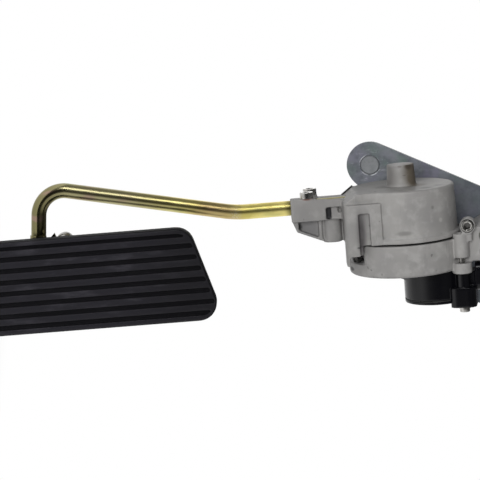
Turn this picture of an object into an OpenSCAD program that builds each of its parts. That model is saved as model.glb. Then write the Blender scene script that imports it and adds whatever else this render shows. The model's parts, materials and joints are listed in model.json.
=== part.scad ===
// Hanging accelerator pedal for a road vehicle: a studded steel plate carries a cast
// housing with a position sensor, and a cast lever with a bent rod carries the pad.
// X runs to the driver's right, Y forwards to the bulkhead and Z upwards.
// The origin is on the axis of the lower stud, in the plane of the plate's back.

/* [Pivot] */
// Distance of the pivot axis in front of the mounting plane
pivot_out = 46; // [45:0.5:52]
// Height of the pivot axis above the lower stud
pivot_up = 25.5; // [23:0.5:30]
// Sideways distance from the lower stud to the split between lever and housing
split_right = 43; // [38:0.5:48]
// Gap at the split between lever and housing
split_gap = 0.8; // [0.5:0.1:1.5]
// Angle at which the lever hangs towards the driver at rest
rest_tilt = 10; // [5:1:14]
// Diameter of the pivot shaft
shaft_d = 10; // [8:0.5:11]
// Diameter of the flatted nose that turns the sensor
nose_d = 6; // [5:0.25:6]

/* [Mounting plate] */
// Thickness of the plate
plate_t = 3; // [2:0.25:4]
// Radius of the plate's round corners
plate_r = 16; // [14:0.5:18]
// Sideways place of the top stud
top_stud_x = 47; // [44:0.5:50]
// Height of the top stud
top_stud_z = 95; // [93:0.5:98]
// Sideways place of the outer stud
outer_stud_x = 84.5; // [80:0.5:88]
// Height of the outer stud
outer_stud_z = 74; // [70:0.5:78]
// Diameter of the studs
stud_d = 8; // [6:0.5:8]
// Length of a stud behind the plate
stud_l = 20; // [15:0.5:30]
// Diameter of the flush stud heads
stud_head_d = 13.5; // [11:0.5:14]
// Thickness of the flush stud heads
stud_head_t = 1.4; // [1:0.1:1.6]

/* [Lever casting] */
// Radius of the drum at its closed end
drum_r = 34.4; // [34:0.1:35]
// Growth of the drum's radius towards the split
drum_draft = 0.9; // [0:0.1:1.2]
// Height of the drum
drum_h = 34; // [33:0.5:38]
// Thickness of the drum's end wall
drum_wall = 4; // [3:0.25:5]
// Inner radius of the drum
drum_bore_r = 29.5; // [28:0.25:30]
// Radius of the lip at the split
lip_r = 36.6; // [36:0.1:37.2]
// Height of the lip
lip_h = 3; // [2:0.25:5]
// Rounding of the drum's top edge
drum_round = 1.6; // [0.5:0.1:2.5]
// Length of the shaft boss above the drum
boss_h = 14; // [10:0.5:18]
// Radius of the shaft boss at its top
boss_r = 8.9; // [8:0.1:9.5]
// Depth of the flat front face in front of the pivot
face_out = 33; // [32:0.25:34]
// Distance of the block's left side from the pivot
block_left = 40.5; // [39.5:0.25:42]
// Depth of the block behind the pivot
block_back = 14.3; // [14:0.1:16]
// Rounding of the block's corner towards the driver
block_round = 5.5; // [2:0.25:6]
// Height of the raised front face
face_h = 27.5; // [25:0.5:29]
// Distance of the front face's right edge from the pivot
face_right = 16.4; // [14:0.2:18]
// Width of the slot in the front face
slot_w = 7.4; // [5:0.2:8]
// Height of the slot in the front face
slot_h = 21.5; // [18:0.5:23]
// Depth of the slot in the front face
slot_depth = 4; // [2:0.25:5]
// Reach of the stop finger past the split
finger_h = 6.4; // [4:0.2:8]
// Reach of the finger's outer skin past the split
skin_h = 13; // [10:0.25:14]
// Thickness of the finger's outer skin
skin_t = 2; // [1.5:0.1:2.2]
// Depth of the finger from the front face
finger_depth = 19; // [14:0.5:20]
// Chamfer at the block's upper corner, along the drum's height
corner_cut = 6.5; // [4:0.25:8]
// The same chamfer, across the drum
corner_rise = 8.8; // [6:0.2:11]

/* [Rod socket] */
// Distance of the socket's open end from the pivot
socket_out = 74.3; // [72:0.5:78]
// Half width of the socket across the rod
socket_half = 12; // [11:0.25:13]
// Half thickness of the web below the rod
web_half = 4; // [3:0.25:6]
// Radius of the upright column on the web
column_r = 6.2; // [5:0.1:6.5]
// Wall of the socket around the rod's underside
socket_floor = 3.2; // [2.5:0.1:4]
// Rise of the near wall's upper edge towards the open end
edge_rise = 2.4; // [0:0.2:3]
// Diameter of the clamp screws
clamp_d = 5; // [4:0.5:5]
// Diameter of the clamp screw heads
clamp_head_d = 9; // [8:0.25:10]
// Height of the clamp screw heads
clamp_head_h = 4; // [3.4:0.1:6]
// Height of the seats under the clamp screw heads
clamp_seat_h = 2.1; // [1:0.1:3]
// Distance of the clamp screws from the socket's open end
clamp_in = 11; // [8:0.5:14]
// Distance by which the far clamp screw is nearer to the drum
clamp_stagger = 2.5; // [0:0.25:4]

/* [Pedal rod] */
// Diameter of the rod
rod_d = 10; // [8:0.25:10.5]
// Distance of the rod's axis above the split
rod_up = 24.4; // [23:0.2:26]
// Distance of the slight bend from the pivot
kink_out = 111; // [100:1:120]
// Angle of the slight bend
kink_angle = 12; // [8:0.5:14]
// Radius of the slight bend
kink_r = 32; // [26:1:60]
// Distance of the large bend's corner from the pivot
corner_out = 239.6; // [237:0.2:242]
// Lean of the lower leg away from the drum
leg_lean = 6; // [2:0.5:7]
// Radius of the large bend
bend_r = 17; // [14:0.5:20]

/* [Pad] */
// Width of the pad
pad_w = 62.5; // [60:0.5:66]
// Height of the pad's left edge above the split
pad_up = 19.6; // [18:0.2:21]
// Distance of the pad's upper left corner from the pivot
pad_near = 142.4; // [140:0.5:146]
// Distance of the pad's lower end from the pivot
pad_far = 309; // [300:1:320]
// How much higher the upper right corner lies than the left one
pad_slant = 18.8; // [12:0.2:20]
// Radius of the pad's corners
pad_corner = 12; // [10:0.5:16]
// Distance of the rubber's face in front of the rod's axis
pad_face = 21; // [19:0.5:23]
// Thickness of the rubber over its plate
rubber_t = 7; // [6:0.25:8]
// Thickness of the pad's steel plate
pad_plate_t = 2; // [1.5:0.1:2.5]
// Width of the rubber's lip round the plate
lip_w = 2.5; // [2:0.1:3.5]
// Number of grooves in the rubber
groove_count = 8; // [6:1:9]
// Spacing of the grooves
groove_pitch = 7.6; // [6.5:0.1:7.7]
// Width of a groove
groove_w = 3; // [1.5:0.1:3.4]
// Depth of a groove
groove_depth = 2.2; // [1:0.1:3]
// Distance from the pad's left edge to the first groove
groove_edge = 4; // [3.6:0.1:5]
// Distance by which a groove stops short of the pad's ends
groove_stop = 3.2; // [3:0.1:6]

/* [Pad hinge] */
// Diameter of the hinge pin
pin_d = 5; // [4:0.25:5.5]
// Distance of the hinge pin from the pivot
pin_out = 225; // [223:0.5:227]
// Distance of the hinge pin in front of the rod's axis
pin_front = 4; // [3:0.25:5]
// Diameter of the pin's domed head
pin_head_d = 9.8; // [8:0.2:10.4]
// Height of the pin's domed head
pin_head_h = 5.2; // [3:0.2:6]
// Thickness of the bracket's steel
bracket_t = 2; // [1.5:0.1:2.5]
// Distance between the outer faces of the bracket's ears
bracket_w = 42; // [38:0.5:46]
// Distance of the bracket's left ear above the split
bracket_up = 16; // [14:0.25:17]
// Mean radius of the pad's torsion spring
pad_spring_r = 7.1; // [6.8:0.05:7.2]
// Wire of the pad's torsion spring
pad_wire_d = 1.4; // [1:0.1:1.6]

/* [Housing] */
// Outer radius of the housing's ring
ring_r = 38; // [37.5:0.1:38.2]
// Inner radius of the housing's ring
ring_bore_r = 33; // [31:0.25:34]
// Depth of the housing below the split
housing_h = 22.2; // [21.5:0.1:24]
// Thickness of the housing's end wall
end_wall = 5.2; // [4.5:0.1:6]
// Depth of the window for the stop finger
window_h = 13.2; // [9:0.2:14]
// Rise of the near column above the split
column_rise = 2.4; // [0:0.2:3]
// Depth of the near column below the split
column_h = 13.6; // [8:0.2:15]
// Outer radius of the hub tube
hub_r = 10; // [9.6:0.1:11]
// Reach of the hub tube into the lever's drum
hub_reach = 23.5; // [20:0.5:24]
// Wall of the plain bushes
bush_wall = 2; // [1.5:0.1:2.2]
// Running gap between shaft and bushes
run_gap = 0.05; // [0.03:0.01:0.08]
// Height of the mounting block's upper end above the pivot
block_top = 61; // [60:0.5:64]
// Depth of the mounting block in front of the pivot
block_front = 14; // [10:0.5:16]
// Radius of the fixing lug
lug_r = 5.2; // [4.8:0.1:5.6]
// Depth of the fixing lug, along its screw
lug_h = 9; // [7.5:0.5:14]
// Diameter of the housing's fixing screws
fixing_d = 5; // [4:0.25:5.5]
// Diameter of the fixing screw heads
fixing_head_d = 8.4; // [7.5:0.1:8.6]

/* [Return springs] */
// Wire of the return springs
wire_d = 3; // [2:0.1:3.2]
// Mean radius of the inner return spring
inner_coil_r = 14.2; // [13.5:0.1:14.6]
// Mean radius of the outer return spring
outer_coil_r = 20.6; // [19.5:0.1:22]
// Number of turns of a return spring
coil_turns = 7; // [5:1:8]

/* [Sensor] */
// Depth of the sensor below the housing
sensor_h = 21.8; // [20:0.2:25]
// Depth of the collar round the shaft's nose
collar_h = 6; // [5.6:0.1:8]
// Radius of the sensor's case
case_r = 21; // [20:0.25:22]
// Distance from the pivot to the middle of the case
case_up = 18.5; // [17:0.25:20]
// Wall of the case
case_wall = 1.7; // [1.4:0.1:2.2]
// Radius of the rotor
rotor_r = 4.2; // [4:0.05:4.4]
// Diameter of the sensor's screws
sensor_screw_d = 4; // [3:0.25:4]
// Distance of the sensor's screws outside the case
ear_out = 4.2; // [4:0.1:4.6]
// Turn of the near screw from the top of the case towards the driver
near_turn = 39.4; // [37:0.2:41]
// Turn of the far screw from the top of the case towards the plate
far_turn = 94.6; // [90:0.2:96]
// Height of the ear, along its screw
ear_h = 13; // [10:0.5:14]
// Width of the connector's shroud
shroud_w = 22; // [20:0.5:24]
// Height of the connector's shroud
shroud_h = 18.2; // [16:0.2:19]
// Distance of the shroud's mouth above the pivot
shroud_end = 65; // [62:0.5:70]
// Depth of the shroud's mouth
mouth_depth = 15; // [12:0.5:18]

/* [Hidden] */
$fn = 64;
// Play between pieces that lie side by side
play = 0.3;

zinc = "#aeb4ba";
alloy = "#a5a29b";
steel = "#c9cbcd";
gold = "#b39a45";
black = "#1d1d1f";
bronze = "#a9783f";
nylon = "#d9d5c8";
board_green = "#2f6b45";

lever_top = -drum_h;
boss_top = lever_top - boss_h;
split = split_gap;
floor_x = housing_h - end_wall;
shaft_r = shaft_d / 2;
bush_r = shaft_r + bush_wall;
hub_end = -hub_reach;
bush_flange_t = 1.2;
washer_t = 1;
clip_t = 1;
inner_hub_end = hub_end - bush_flange_t - washer_t - 0.2;
clip_x = housing_h - 2.5;
nose_r = nose_d / 2;
nose_start = clip_x + clip_t + 0.4;
roof_t = 1.2;
rotor_top = housing_h + roof_t + play;
rotor_bottom = housing_h + collar_h - roof_t - play;
nose_end = rotor_bottom - 0.5;
rod_r = rod_d / 2;
rod_x = -rod_up;
socket_top = rod_x - rod_r + 0.1;
rod_end = -(drum_bore_r + 2);
clamp_places = [
    [-(rod_r + 0.8 + clamp_d / 2), clamp_in - socket_out],
    [rod_r + 0.8 + clamp_d / 2, clamp_in + clamp_stagger - socket_out]
];
sensor_top = housing_h;
cover_t = 2;
gasket_t = 0.6;
sensor_bottom = housing_h + sensor_h;
case_bottom = sensor_bottom - cover_t - gasket_t;
nose_case_r = rotor_r + play + case_wall;
ear_bottom = sensor_bottom + 2.5;
ear_top = ear_bottom - ear_h;
ear_r = 5.2;
ear_reach = case_r + ear_out;
far_ear = [ear_reach * sin(far_turn), case_up + ear_reach * cos(far_turn)];
near_ear = [-ear_reach * sin(near_turn), case_up + ear_reach * cos(near_turn)];
bulge_r = 6.4;
bulge_drop = 1.8;
pin_y = -pin_front;
pin_r = pin_d / 2;
pin_dome_r = pin_head_d * 0.62;
pad_left = -pad_up;
pad_right = pad_left + pad_w;
pad_plate_back = -pad_face + rubber_t + pad_plate_t;
ear_left = -bracket_up;
ear_right = ear_left + bracket_w;
pad_ear_gap = 0.5;
leg_end = ear_right + 4;
leg_z = -corner_out - (ear_left + rod_up + (corner_out - kink_out) * tan(kink_angle)) * tan(leg_lean);
web_front = pin_y + pad_spring_r + pad_wire_d / 2 + 0.2;
web_back = web_front + bracket_t;
web_low = -pin_out - 8;
web_high = -pin_out + 8;
bracket_r = rod_r + 1.6;
pad_ear_left = ear_left + bracket_t + pad_ear_gap;
pad_ear_right = ear_right - bracket_t - pad_ear_gap - pad_plate_t;
pad_ear_r = pin_r + 3.5;
pin_bush_r = pin_r + 1;
rubber_back = 1.2;
clip_groove = 0.8;
clip_seat_r = shaft_r - clip_groove;
flange_r = hub_r - 0.8;
bush_l = 10;
boss_wall = 2;
drum_floor = lever_top + drum_wall;
coil_end = drum_floor + 4.6;
spring_hole = 2;
leg_bend = 3;
leg_hole_r = wire_d / 2 + 0.2;
nose_flat = nose_r * 0.6;
finger_in = drum_bore_r - 0.3;
slot_left = finger_in + 2.3;
block_set_back = 4;
strip_t = 0.9;
strip_w = block_back - socket_half - play;
cut_up = [lever_top, corner_rise - block_left];
cut_low = [lever_top + corner_cut, -block_left];
socket_low = rod_x + rod_r + socket_floor;
rib_half = socket_half - 3;
pocket_y = socket_half - 2.4;
column_z = -block_left - 7.4;
clamp_l = 12;
clamp_seat = socket_top - clamp_seat_h;
slant_end = [-1.6, -block_left - 13.3];
pocket_w = 10.3;
ring_round = 2.5;
stud_rib = 0.25;
block_low = 8;
block_up = 5.7;
block_step = 12;
block_edge = lip_r + 1.5;
plate_face = pivot_out - plate_t;
far_boss_top = floor_x - 7;
far_boss_r = 4.2;
screw_r = sensor_screw_d / 2;
sleeve_r = screw_r + 1.2;
post_r = sleeve_r + 1.2;
fixing_sink = 4.5;
lug_place = [-7.4, -block_front - 6, lip_r + lug_r + 1.3];
fixing_z = block_top - fixing_head_d / 2 - 2.3;
fixing_edge = fixing_head_d / 2 + 2;
fixings = [
    lug_place,
    [floor_x - fixing_edge, -block_front, fixing_z],
    [fixing_edge - block_up, -block_front, fixing_z]
];
board_t = 1.6;
board_top = case_bottom - 2 - board_t;
board_edge = case_up + case_r - case_wall - 5;
shroud_top = housing_h - 3.4;
shroud_front = -13;
shroud_start = near_ear.y + bulge_r + 1.3;
pin_w = 1.2;
row_pitch = 4;
pin_pitch = 5;
pin_rows = [for (i = [-0.5, 0.5]) shroud_top + shroud_h / 2 + i * row_pitch];
pin_places = [for (i = [-1:1]) shroud_front + shroud_w / 2 + i * pin_pitch];

// Helpers
function unit(v) = v / norm(v);

// Points of the arc that rounds corner b between its neighbours a and c
function corner_arc(a, b, c, r, n) =
    let (
        u = unit(a - b),
        v = unit(c - b),
        half = acos(u * v) / 2,
        centre = b + unit(u + v) * r / sin(half),
        p0 = b + u * r / tan(half) - centre,
        p1 = b + v * r / tan(half) - centre,
        a0 = atan2(p0.y, p0.x),
        turn = (atan2(p1.y, p1.x) - a0 + 540) % 360 - 180
    )
    [for (k = [0:n]) centre + r * [cos(a0 + turn * k / n), sin(a0 + turn * k / n)]];

// Outline whose corners are rounded, each to its own radius
function rounded(pts, radii, n = 10) =
    let (count = len(pts))
    [
        for (i = [0:count - 1])
        each radii[i] == 0
            ? [pts[i]]
            : corner_arc(pts[(i + count - 1) % count], pts[i], pts[(i + 1) % count], radii[i], n)
    ];

// Outline of a disc of radius r rolled round an anticlockwise polygon
function rolled(pts, r, n = 16) =
    let (count = len(pts))
    [
        for (i = [0:count - 1])
        let (
            d0 = pts[i] - pts[(i + count - 1) % count],
            d1 = pts[(i + 1) % count] - pts[i],
            a0 = atan2(d0.y, d0.x) - 90,
            turn = (atan2(d1.y, d1.x) - 90 - a0 + 720) % 360
        )
        for (k = [0:n])
        pts[i] + r * [cos(a0 + turn * k / n), sin(a0 + turn * k / n)]
    ];

// Round bar along X from x0 to x1, with its own radius at each end
module bar_x(x0, x1, r0, r1) {
    translate([x0, 0, 0]) rotate([0, 90, 0]) cylinder(h = x1 - x0, r1 = r0, r2 = r1);
}

// Round bar along Y from y0 to y1
module bar_y(y0, y1, r) {
    translate([0, y1, 0]) rotate([90, 0, 0]) cylinder(h = y1 - y0, r = r);
}

// Outline in Y and Z, drawn out along X from x0 to x1
module slab_x(x0, x1) {
    translate([x0, 0, 0]) rotate([90, 0, 90]) linear_extrude(x1 - x0) children();
}

// Outline in X and Z, drawn out along Y from y0 to y1
module slab_y(y0, y1) {
    translate([0, y1, 0]) rotate([90, 0, 0]) linear_extrude(y1 - y0) children();
}

// Box from one corner to the opposite one
module box(a, b) {
    translate(a) cube(b - a);
}

// Solid turned about the X axis from points of radius and x
module turned(profile) {
    rotate([0, 90, 0]) rotate_extrude() polygon(profile);
}

// Ring about the X axis
module ring_x(x0, x1, inner, outer) {
    difference() {
        bar_x(x0, x1, outer, outer);
        bar_x(x0 - 1, x1 + 1, inner, inner);
    }
}

// Two discs of different radius, up apart along the second axis, joined by tangents
module egg(r0, r1, up) {
    lean = 90 + asin((r1 - r0) / up);
    circle(r0);
    translate([0, up]) circle(r1);
    polygon([
        [r0 * sin(lean), r0 * cos(lean)],
        [r1 * sin(lean), up + r1 * cos(lean)],
        [-r1 * sin(lean), up + r1 * cos(lean)],
        [-r0 * sin(lean), r0 * cos(lean)]
    ]);
}

// Round bar through a list of points: they wind about the X axis, or lie across a direction
module wire(path, r, sides = 8, across = [0, 0, 0]) {
    last = len(path) - 1;
    rings = [
        for (i = [0:last])
        let (
            t = unit(path[min(i + 1, last)] - path[max(i - 1, 0)]),
            out = norm(across) > 0 ? across : [0, path[i].y, path[i].z],
            n = unit(out - (out * t) * t),
            b = cross(t, n)
        )
        for (k = [0:sides - 1])
        path[i] + r * (cos(k * 360 / sides) * n + sin(k * 360 / sides) * b)
    ];
    sides_faces = [
        for (i = [0:last - 1])
        for (k = [0:sides - 1])
        [
            i * sides + k,
            (i + 1) * sides + k,
            (i + 1) * sides + (k + 1) % sides,
            i * sides + (k + 1) % sides
        ]
    ];
    first_cap = [for (k = [0:sides - 1]) k];
    last_cap = [for (k = [sides - 1:-1:0]) last * sides + k];
    polyhedron(points = rings, faces = concat([first_cap], [last_cap], sides_faces));
}

// Frames: the pivot's own place, and the lever as it hangs there at rest
module at_pivot() {
    translate([split_right, -pivot_out, pivot_up]) children();
}

module at_lever() {
    at_pivot() rotate([-rest_tilt, 0, 0]) children();
}

module at_each_stud() {
    for (p = [[0, 0], [top_stud_x, top_stud_z], [outer_stud_x, outer_stud_z]])
        translate([p.x, 0, p.y]) children();
}

module at_each_ear() {
    for (p = [near_ear, far_ear])
        translate([0, p.x, p.y]) children();
}

// Mounting plate with its flush studs
module mounting_plate() {
    corners = [[0, 0], [outer_stud_x, outer_stud_z], [top_stud_x, top_stud_z]];
    color(zinc) difference() {
        slab_y(-plate_t, 0) polygon(rolled(corners, plate_r, 24));
        at_each_stud() {
            bar_y(-plate_t - 1, 1, stud_d / 2 + stud_rib);
            bar_y(-plate_t - 1, stud_head_t - plate_t, stud_head_d / 2);
        }
        at_pivot()
            for (p = fixings) if (p != lug_place) translate([p.x, 0, p.z])
                bar_y(plate_face - 1, pivot_out + 1, fixing_d / 2);
    }
}

module mounting_studs() {
    tip = stud_d / 8;
    color(steel) at_each_stud() {
        bar_y(-plate_t, stud_head_t - plate_t, stud_head_d / 2);
        bar_y(stud_head_t - plate_t, 0, stud_d / 2 + stud_rib);
        bar_y(0, stud_l - tip, stud_d / 2);
        translate([0, stud_l - tip, 0]) rotate([-90, 0, 0])
            cylinder(h = tip, r1 = stud_d / 2, r2 = stud_d / 2 - tip);
    }
}

// A fixing screw ends at the plate's back, and the lug's own short screw in its lug
function screw_end(p) = p == lug_place ? p.y + lug_h : pivot_out;

// Cast housing: a ring with an end wall, a hub tube and the block that meets the plate
module housing_outside() {
    turned([
        [0, split], [ring_r, split],
        for (a = [0:15:90])
            [
                ring_r - ring_round + ring_round * cos(a),
                housing_h - ring_round + ring_round * sin(a)
            ],
        [0, housing_h]
    ]);
    bar_x(hub_end, housing_h, hub_r, hub_r);
    slab_y(-block_front, plate_face) polygon([
        [floor_x, block_low],
        [floor_x, block_top],
        [-block_up, block_top],
        [-block_up, block_top - block_step],
        [split - 1.8, block_edge + 2.9],
        [split, block_edge],
        [split, block_low]
    ]);
    box([split, 0, block_low], [housing_h - 2, plate_face, ring_r]);
    // lug, with a foot down to the block
    translate([lug_place.x, 0, lug_place.z]) bar_y(lug_place.y, lug_place.y + lug_h, lug_r);
    box(
        [lug_place.x, lug_place.y + 1, lug_place.z - lug_r / 2],
        [split + 2, lug_place.y + lug_h, lug_place.z + lug_r / 2]
    );
    translate([0, near_ear.x, near_ear.y]) {
        bar_x(-column_rise, column_h, ear_r, ear_r);
        bar_x(floor_x, housing_h + bulge_drop, bulge_r, bulge_r);
    }
    translate([0, far_ear.x, far_ear.y]) bar_x(far_boss_top, housing_h, far_boss_r, far_boss_r);
}

module housing() {
    color(alloy) at_pivot() difference() {
        housing_outside();
        difference() {
            bar_x(split - 1, floor_x, ring_bore_r, ring_bore_r);
            bar_x(split - 2, floor_x + 1, hub_r, hub_r);
            translate([0, far_ear.x, far_ear.y])
                bar_x(far_boss_top, floor_x + 1, far_boss_r, far_boss_r);
        }
        // room for the lever's lip beside the lug and the column
        bar_x(-drum_h, split, lip_r + split_gap, lip_r + split_gap);
        // window for the lever's stop finger
        rotate([-rest_tilt, 0, 0])
            box([split - 1, -ring_r - 10, -ring_r - 10], [window_h, ring_r, play - finger_in]);
        // bores for the bushes, and the sink for the clip
        bar_x(hub_end - 1, housing_h + 1, bush_r, bush_r);
        bar_x(clip_x - bush_flange_t, housing_h + 1, flange_r + play, flange_r + play);
        // fixing screws, with sunk heads
        for (p = fixings) translate([p.x, 0, p.z]) {
            bar_y(p.y - 1, screw_end(p) + 1, fixing_d / 2 + 0.1);
            bar_y(p.y - 10, p.y + fixing_sink, fixing_head_d / 2 + 0.2);
        }
        // threads for the sensor's screws
        at_each_ear() bar_x(far_boss_top - 20, housing_h + 5, screw_r, screw_r);
        // holes for the lower legs of the return springs
        for (r = [inner_coil_r, outer_coil_r]) translate([0, 0, r])
            bar_x(floor_x - 1, floor_x + spring_hole, leg_hole_r, leg_hole_r);
    }
}

module housing_screws() {
    color(steel) at_pivot() for (p = fixings) translate([p.x, 0, p.z]) difference() {
        union() {
            bar_y(p.y + 0.6, p.y + fixing_sink, fixing_head_d / 2);
            bar_y(p.y + fixing_sink, screw_end(p), fixing_d / 2);
        }
        rotate([90, 0, 0]) translate([0, 0, -p.y - 3.2]) cylinder(h = 5, r = 2.2, $fn = 6);
    }
}

// Plain bushes that carry the shaft in the hub tube
module hub_bush(flange, body) {
    color(bronze) at_pivot() difference() {
        union() {
            bar_x(flange.x, flange.y, flange_r, flange_r);
            bar_x(body.x, body.y, bush_r, bush_r);
        }
        bar_x(flange.x - 20, flange.y + 20, shaft_r + run_gap, shaft_r + run_gap);
    }
}

module hub_bush_inner() {
    hub_bush([hub_end - bush_flange_t, hub_end], [hub_end, hub_end + bush_l]);
}

module hub_bush_outer() {
    flange_in = clip_x - bush_flange_t;
    hub_bush([flange_in, clip_x - 0.1], [flange_in - bush_l, flange_in]);
}

module thrust_washer() {
    color(steel) at_pivot()
        ring_x(inner_hub_end + 0.1, inner_hub_end + 0.1 + washer_t, shaft_r + 0.1, flange_r);
}

// Place on a return spring's cylinder, from x and the distance gone round it
function on_coil(r, x, s) =
    let (a = 90 + s / r * 180 / PI)
    [x, r * cos(a), r * sin(a)];

// Return spring: a leg in the housing, the turns, and a leg in the lever's drum
module return_spring(r) {
    first_x = floor_x - 3.2;
    last_x = coil_end;
    around = 2 * PI * r * coil_turns;
    steps = 20 * coil_turns;
    low_leg = [on_coil(r, floor_x + spring_hole - 0.2, 0)];
    low_bend = [
        for (a = [0:22.5:67.5])
        on_coil(r, first_x + leg_bend * (1 - sin(a)), leg_bend * (1 - cos(a)))
    ];
    turns = [
        for (i = [0:steps])
        on_coil(r, first_x + (last_x - first_x) * i / steps, leg_bend + around * i / steps)
    ];
    top_bend = [
        for (a = [22.5:22.5:90])
        on_coil(r, last_x - leg_bend * (1 - cos(a)), leg_bend + around + leg_bend * sin(a))
    ];
    top_leg = [on_coil(r, drum_floor - spring_hole + 0.2, 2 * leg_bend + around)];
    color(steel) at_pivot() wire(concat(low_leg, low_bend, turns, top_bend, top_leg), wire_d / 2);
}

module return_spring_inner() {
    return_spring(inner_coil_r);
}

module return_spring_outer() {
    return_spring(outer_coil_r);
}

// Position sensor: case, gasket and cover share one outline, drawn in by inset
module case_outline(inset) {
    translate([0, case_up]) circle(case_r - inset);
}

// Collar at the top of the case, which also takes in the shaft's nose
module collar_outline(inset) {
    egg(nose_case_r - inset, case_r - inset, case_up);
}

module ear_outline(place, inward) {
    polygon(rolled([
        [min(place.x, inward), place.y - 4],
        [max(place.x, inward), place.y - 4],
        [max(place.x, inward), place.y + 3],
        [min(place.x, inward), place.y + 3]
    ], ear_r));
}

module shroud_outline(inset) {
    low = shroud_top + inset;
    high = shroud_top + shroud_h - inset;
    front = shroud_front + inset;
    back = shroud_front + shroud_w - inset;
    r = 4.5 - inset;
    polygon(rounded([[low, front], [high, front], [high, back], [low, back]], [r, r, r, r]));
}

function pin_start(row) = board_edge + row - pin_rows[1];

module pin_runs() {
    for (row = pin_rows)
        for (y = pin_places)
            box(
                [row - pin_w / 2, y - pin_w / 2, pin_start(row)],
                [row + pin_w / 2, y + pin_w / 2, shroud_end - 4]
            );
}

module sensor_case() {
    color(black) at_pivot() difference() {
        union() {
            slab_x(sensor_top, case_bottom) case_outline(0);
            slab_x(sensor_top, sensor_top + collar_h) collar_outline(0);
            difference() {
                slab_x(ear_top, ear_bottom) {
                    ear_outline(near_ear, 0);
                    ear_outline(far_ear, case_r - 8);
                }
                slab_x(case_bottom, ear_bottom + 1) case_outline(-play);
            }
            translate([0, near_ear.x, near_ear.y])
                bar_x(sensor_top + bulge_drop, ear_top, post_r, post_r);
            translate([0, far_ear.x, far_ear.y])
                bar_x(sensor_top, ear_top, post_r, post_r);
            translate([0, 0, shroud_start]) linear_extrude(shroud_end - shroud_start)
                shroud_outline(0);
            box(
                [shroud_top + 5.4, shroud_front + 0.5, case_up],
                [shroud_top + shroud_h - 1, shroud_front + shroud_w - 3, shroud_start + 1]
            );
        }
        slab_x(sensor_top + roof_t, case_bottom + 1) case_outline(case_wall);
        slab_x(sensor_top + roof_t, sensor_top + collar_h - roof_t) collar_outline(case_wall);
        bar_x(sensor_top - 1, rotor_top, nose_r + play, nose_r + play);
        at_each_ear() bar_x(sensor_top - 1, ear_bottom + 1, sleeve_r, sleeve_r);
        translate([0, near_ear.x, near_ear.y])
            bar_x(sensor_top - 1, sensor_top + bulge_drop, bulge_r + play, bulge_r + play);
        translate([0, 0, shroud_end - mouth_depth]) linear_extrude(mouth_depth + 1)
            shroud_outline(case_wall);
        pin_runs();
    }
}

module sensor_gasket() {
    color("#3a3a3a") at_pivot() slab_x(case_bottom, case_bottom + gasket_t) difference() {
        case_outline(0);
        case_outline(case_wall);
    }
}

module sensor_cover() {
    color(black) at_pivot() {
        slab_x(case_bottom + gasket_t, sensor_bottom) case_outline(0);
        slab_x(case_bottom - 2, case_bottom + gasket_t) difference() {
            case_outline(case_wall + 0.15);
            case_outline(case_wall + 1.4);
        }
    }
}

module sensor_circuit_board() {
    color(board_green) at_pivot()
        slab_x(board_top, board_top + board_t) case_outline(case_wall + 0.2);
}

module sensor_terminals() {
    color(bronze) at_pivot() {
        pin_runs();
        for (row = pin_rows)
            for (y = pin_places)
                box(
                    [row - pin_w / 2, y - pin_w / 2, pin_start(row)],
                    [board_top, y + pin_w / 2, pin_start(row) + pin_w]
                );
    }
}

module sensor_sleeves() {
    color(bronze) at_pivot() {
        translate([0, near_ear.x, near_ear.y])
            ring_x(sensor_top + bulge_drop, ear_bottom, screw_r + 0.2, sleeve_r);
        translate([0, far_ear.x, far_ear.y])
            ring_x(sensor_top, ear_bottom, screw_r + 0.2, sleeve_r);
    }
}

module sensor_screw(tip_x) {
    difference() {
        union() {
            bar_x(tip_x, ear_bottom, screw_r, screw_r);
            bar_x(ear_bottom, ear_bottom + 1, screw_r * 1.9, screw_r * 1.9);
            bar_x(ear_bottom + 1, ear_bottom + 3.4, screw_r * 1.7, screw_r * 1.5);
        }
        translate([ear_bottom + 1.6, 0, 0]) rotate([0, 90, 0])
            cylinder(h = 3, r = screw_r * 0.8, $fn = 6);
    }
}

module sensor_screws() {
    color(steel) at_pivot() {
        translate([0, near_ear.x, near_ear.y]) sensor_screw(split + 3);
        translate([0, far_ear.x, far_ear.y]) sensor_screw(far_boss_top + 1);
    }
}

// Cast lever: drum, shaft boss, front block with its stop finger, and the rod socket
module lever_block() {
    slab_y(block_set_back - face_out, block_back)
        polygon([[0, -15], cut_up, cut_low, [0, -block_left]]);
    slab_y(block_set_back - face_out, block_back)
        polygon([[0, -15], [lever_top, -15], cut_up]);
    box([-face_h, -face_out, -block_left], [0, -face_out + 12, -face_right]);
    box([-1, -face_out, -block_left], [finger_h, finger_depth - face_out, -finger_in]);
    box([-1, -face_out, -block_left], [skin_h, finger_depth - face_out, skin_t - block_left]);
}

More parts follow.
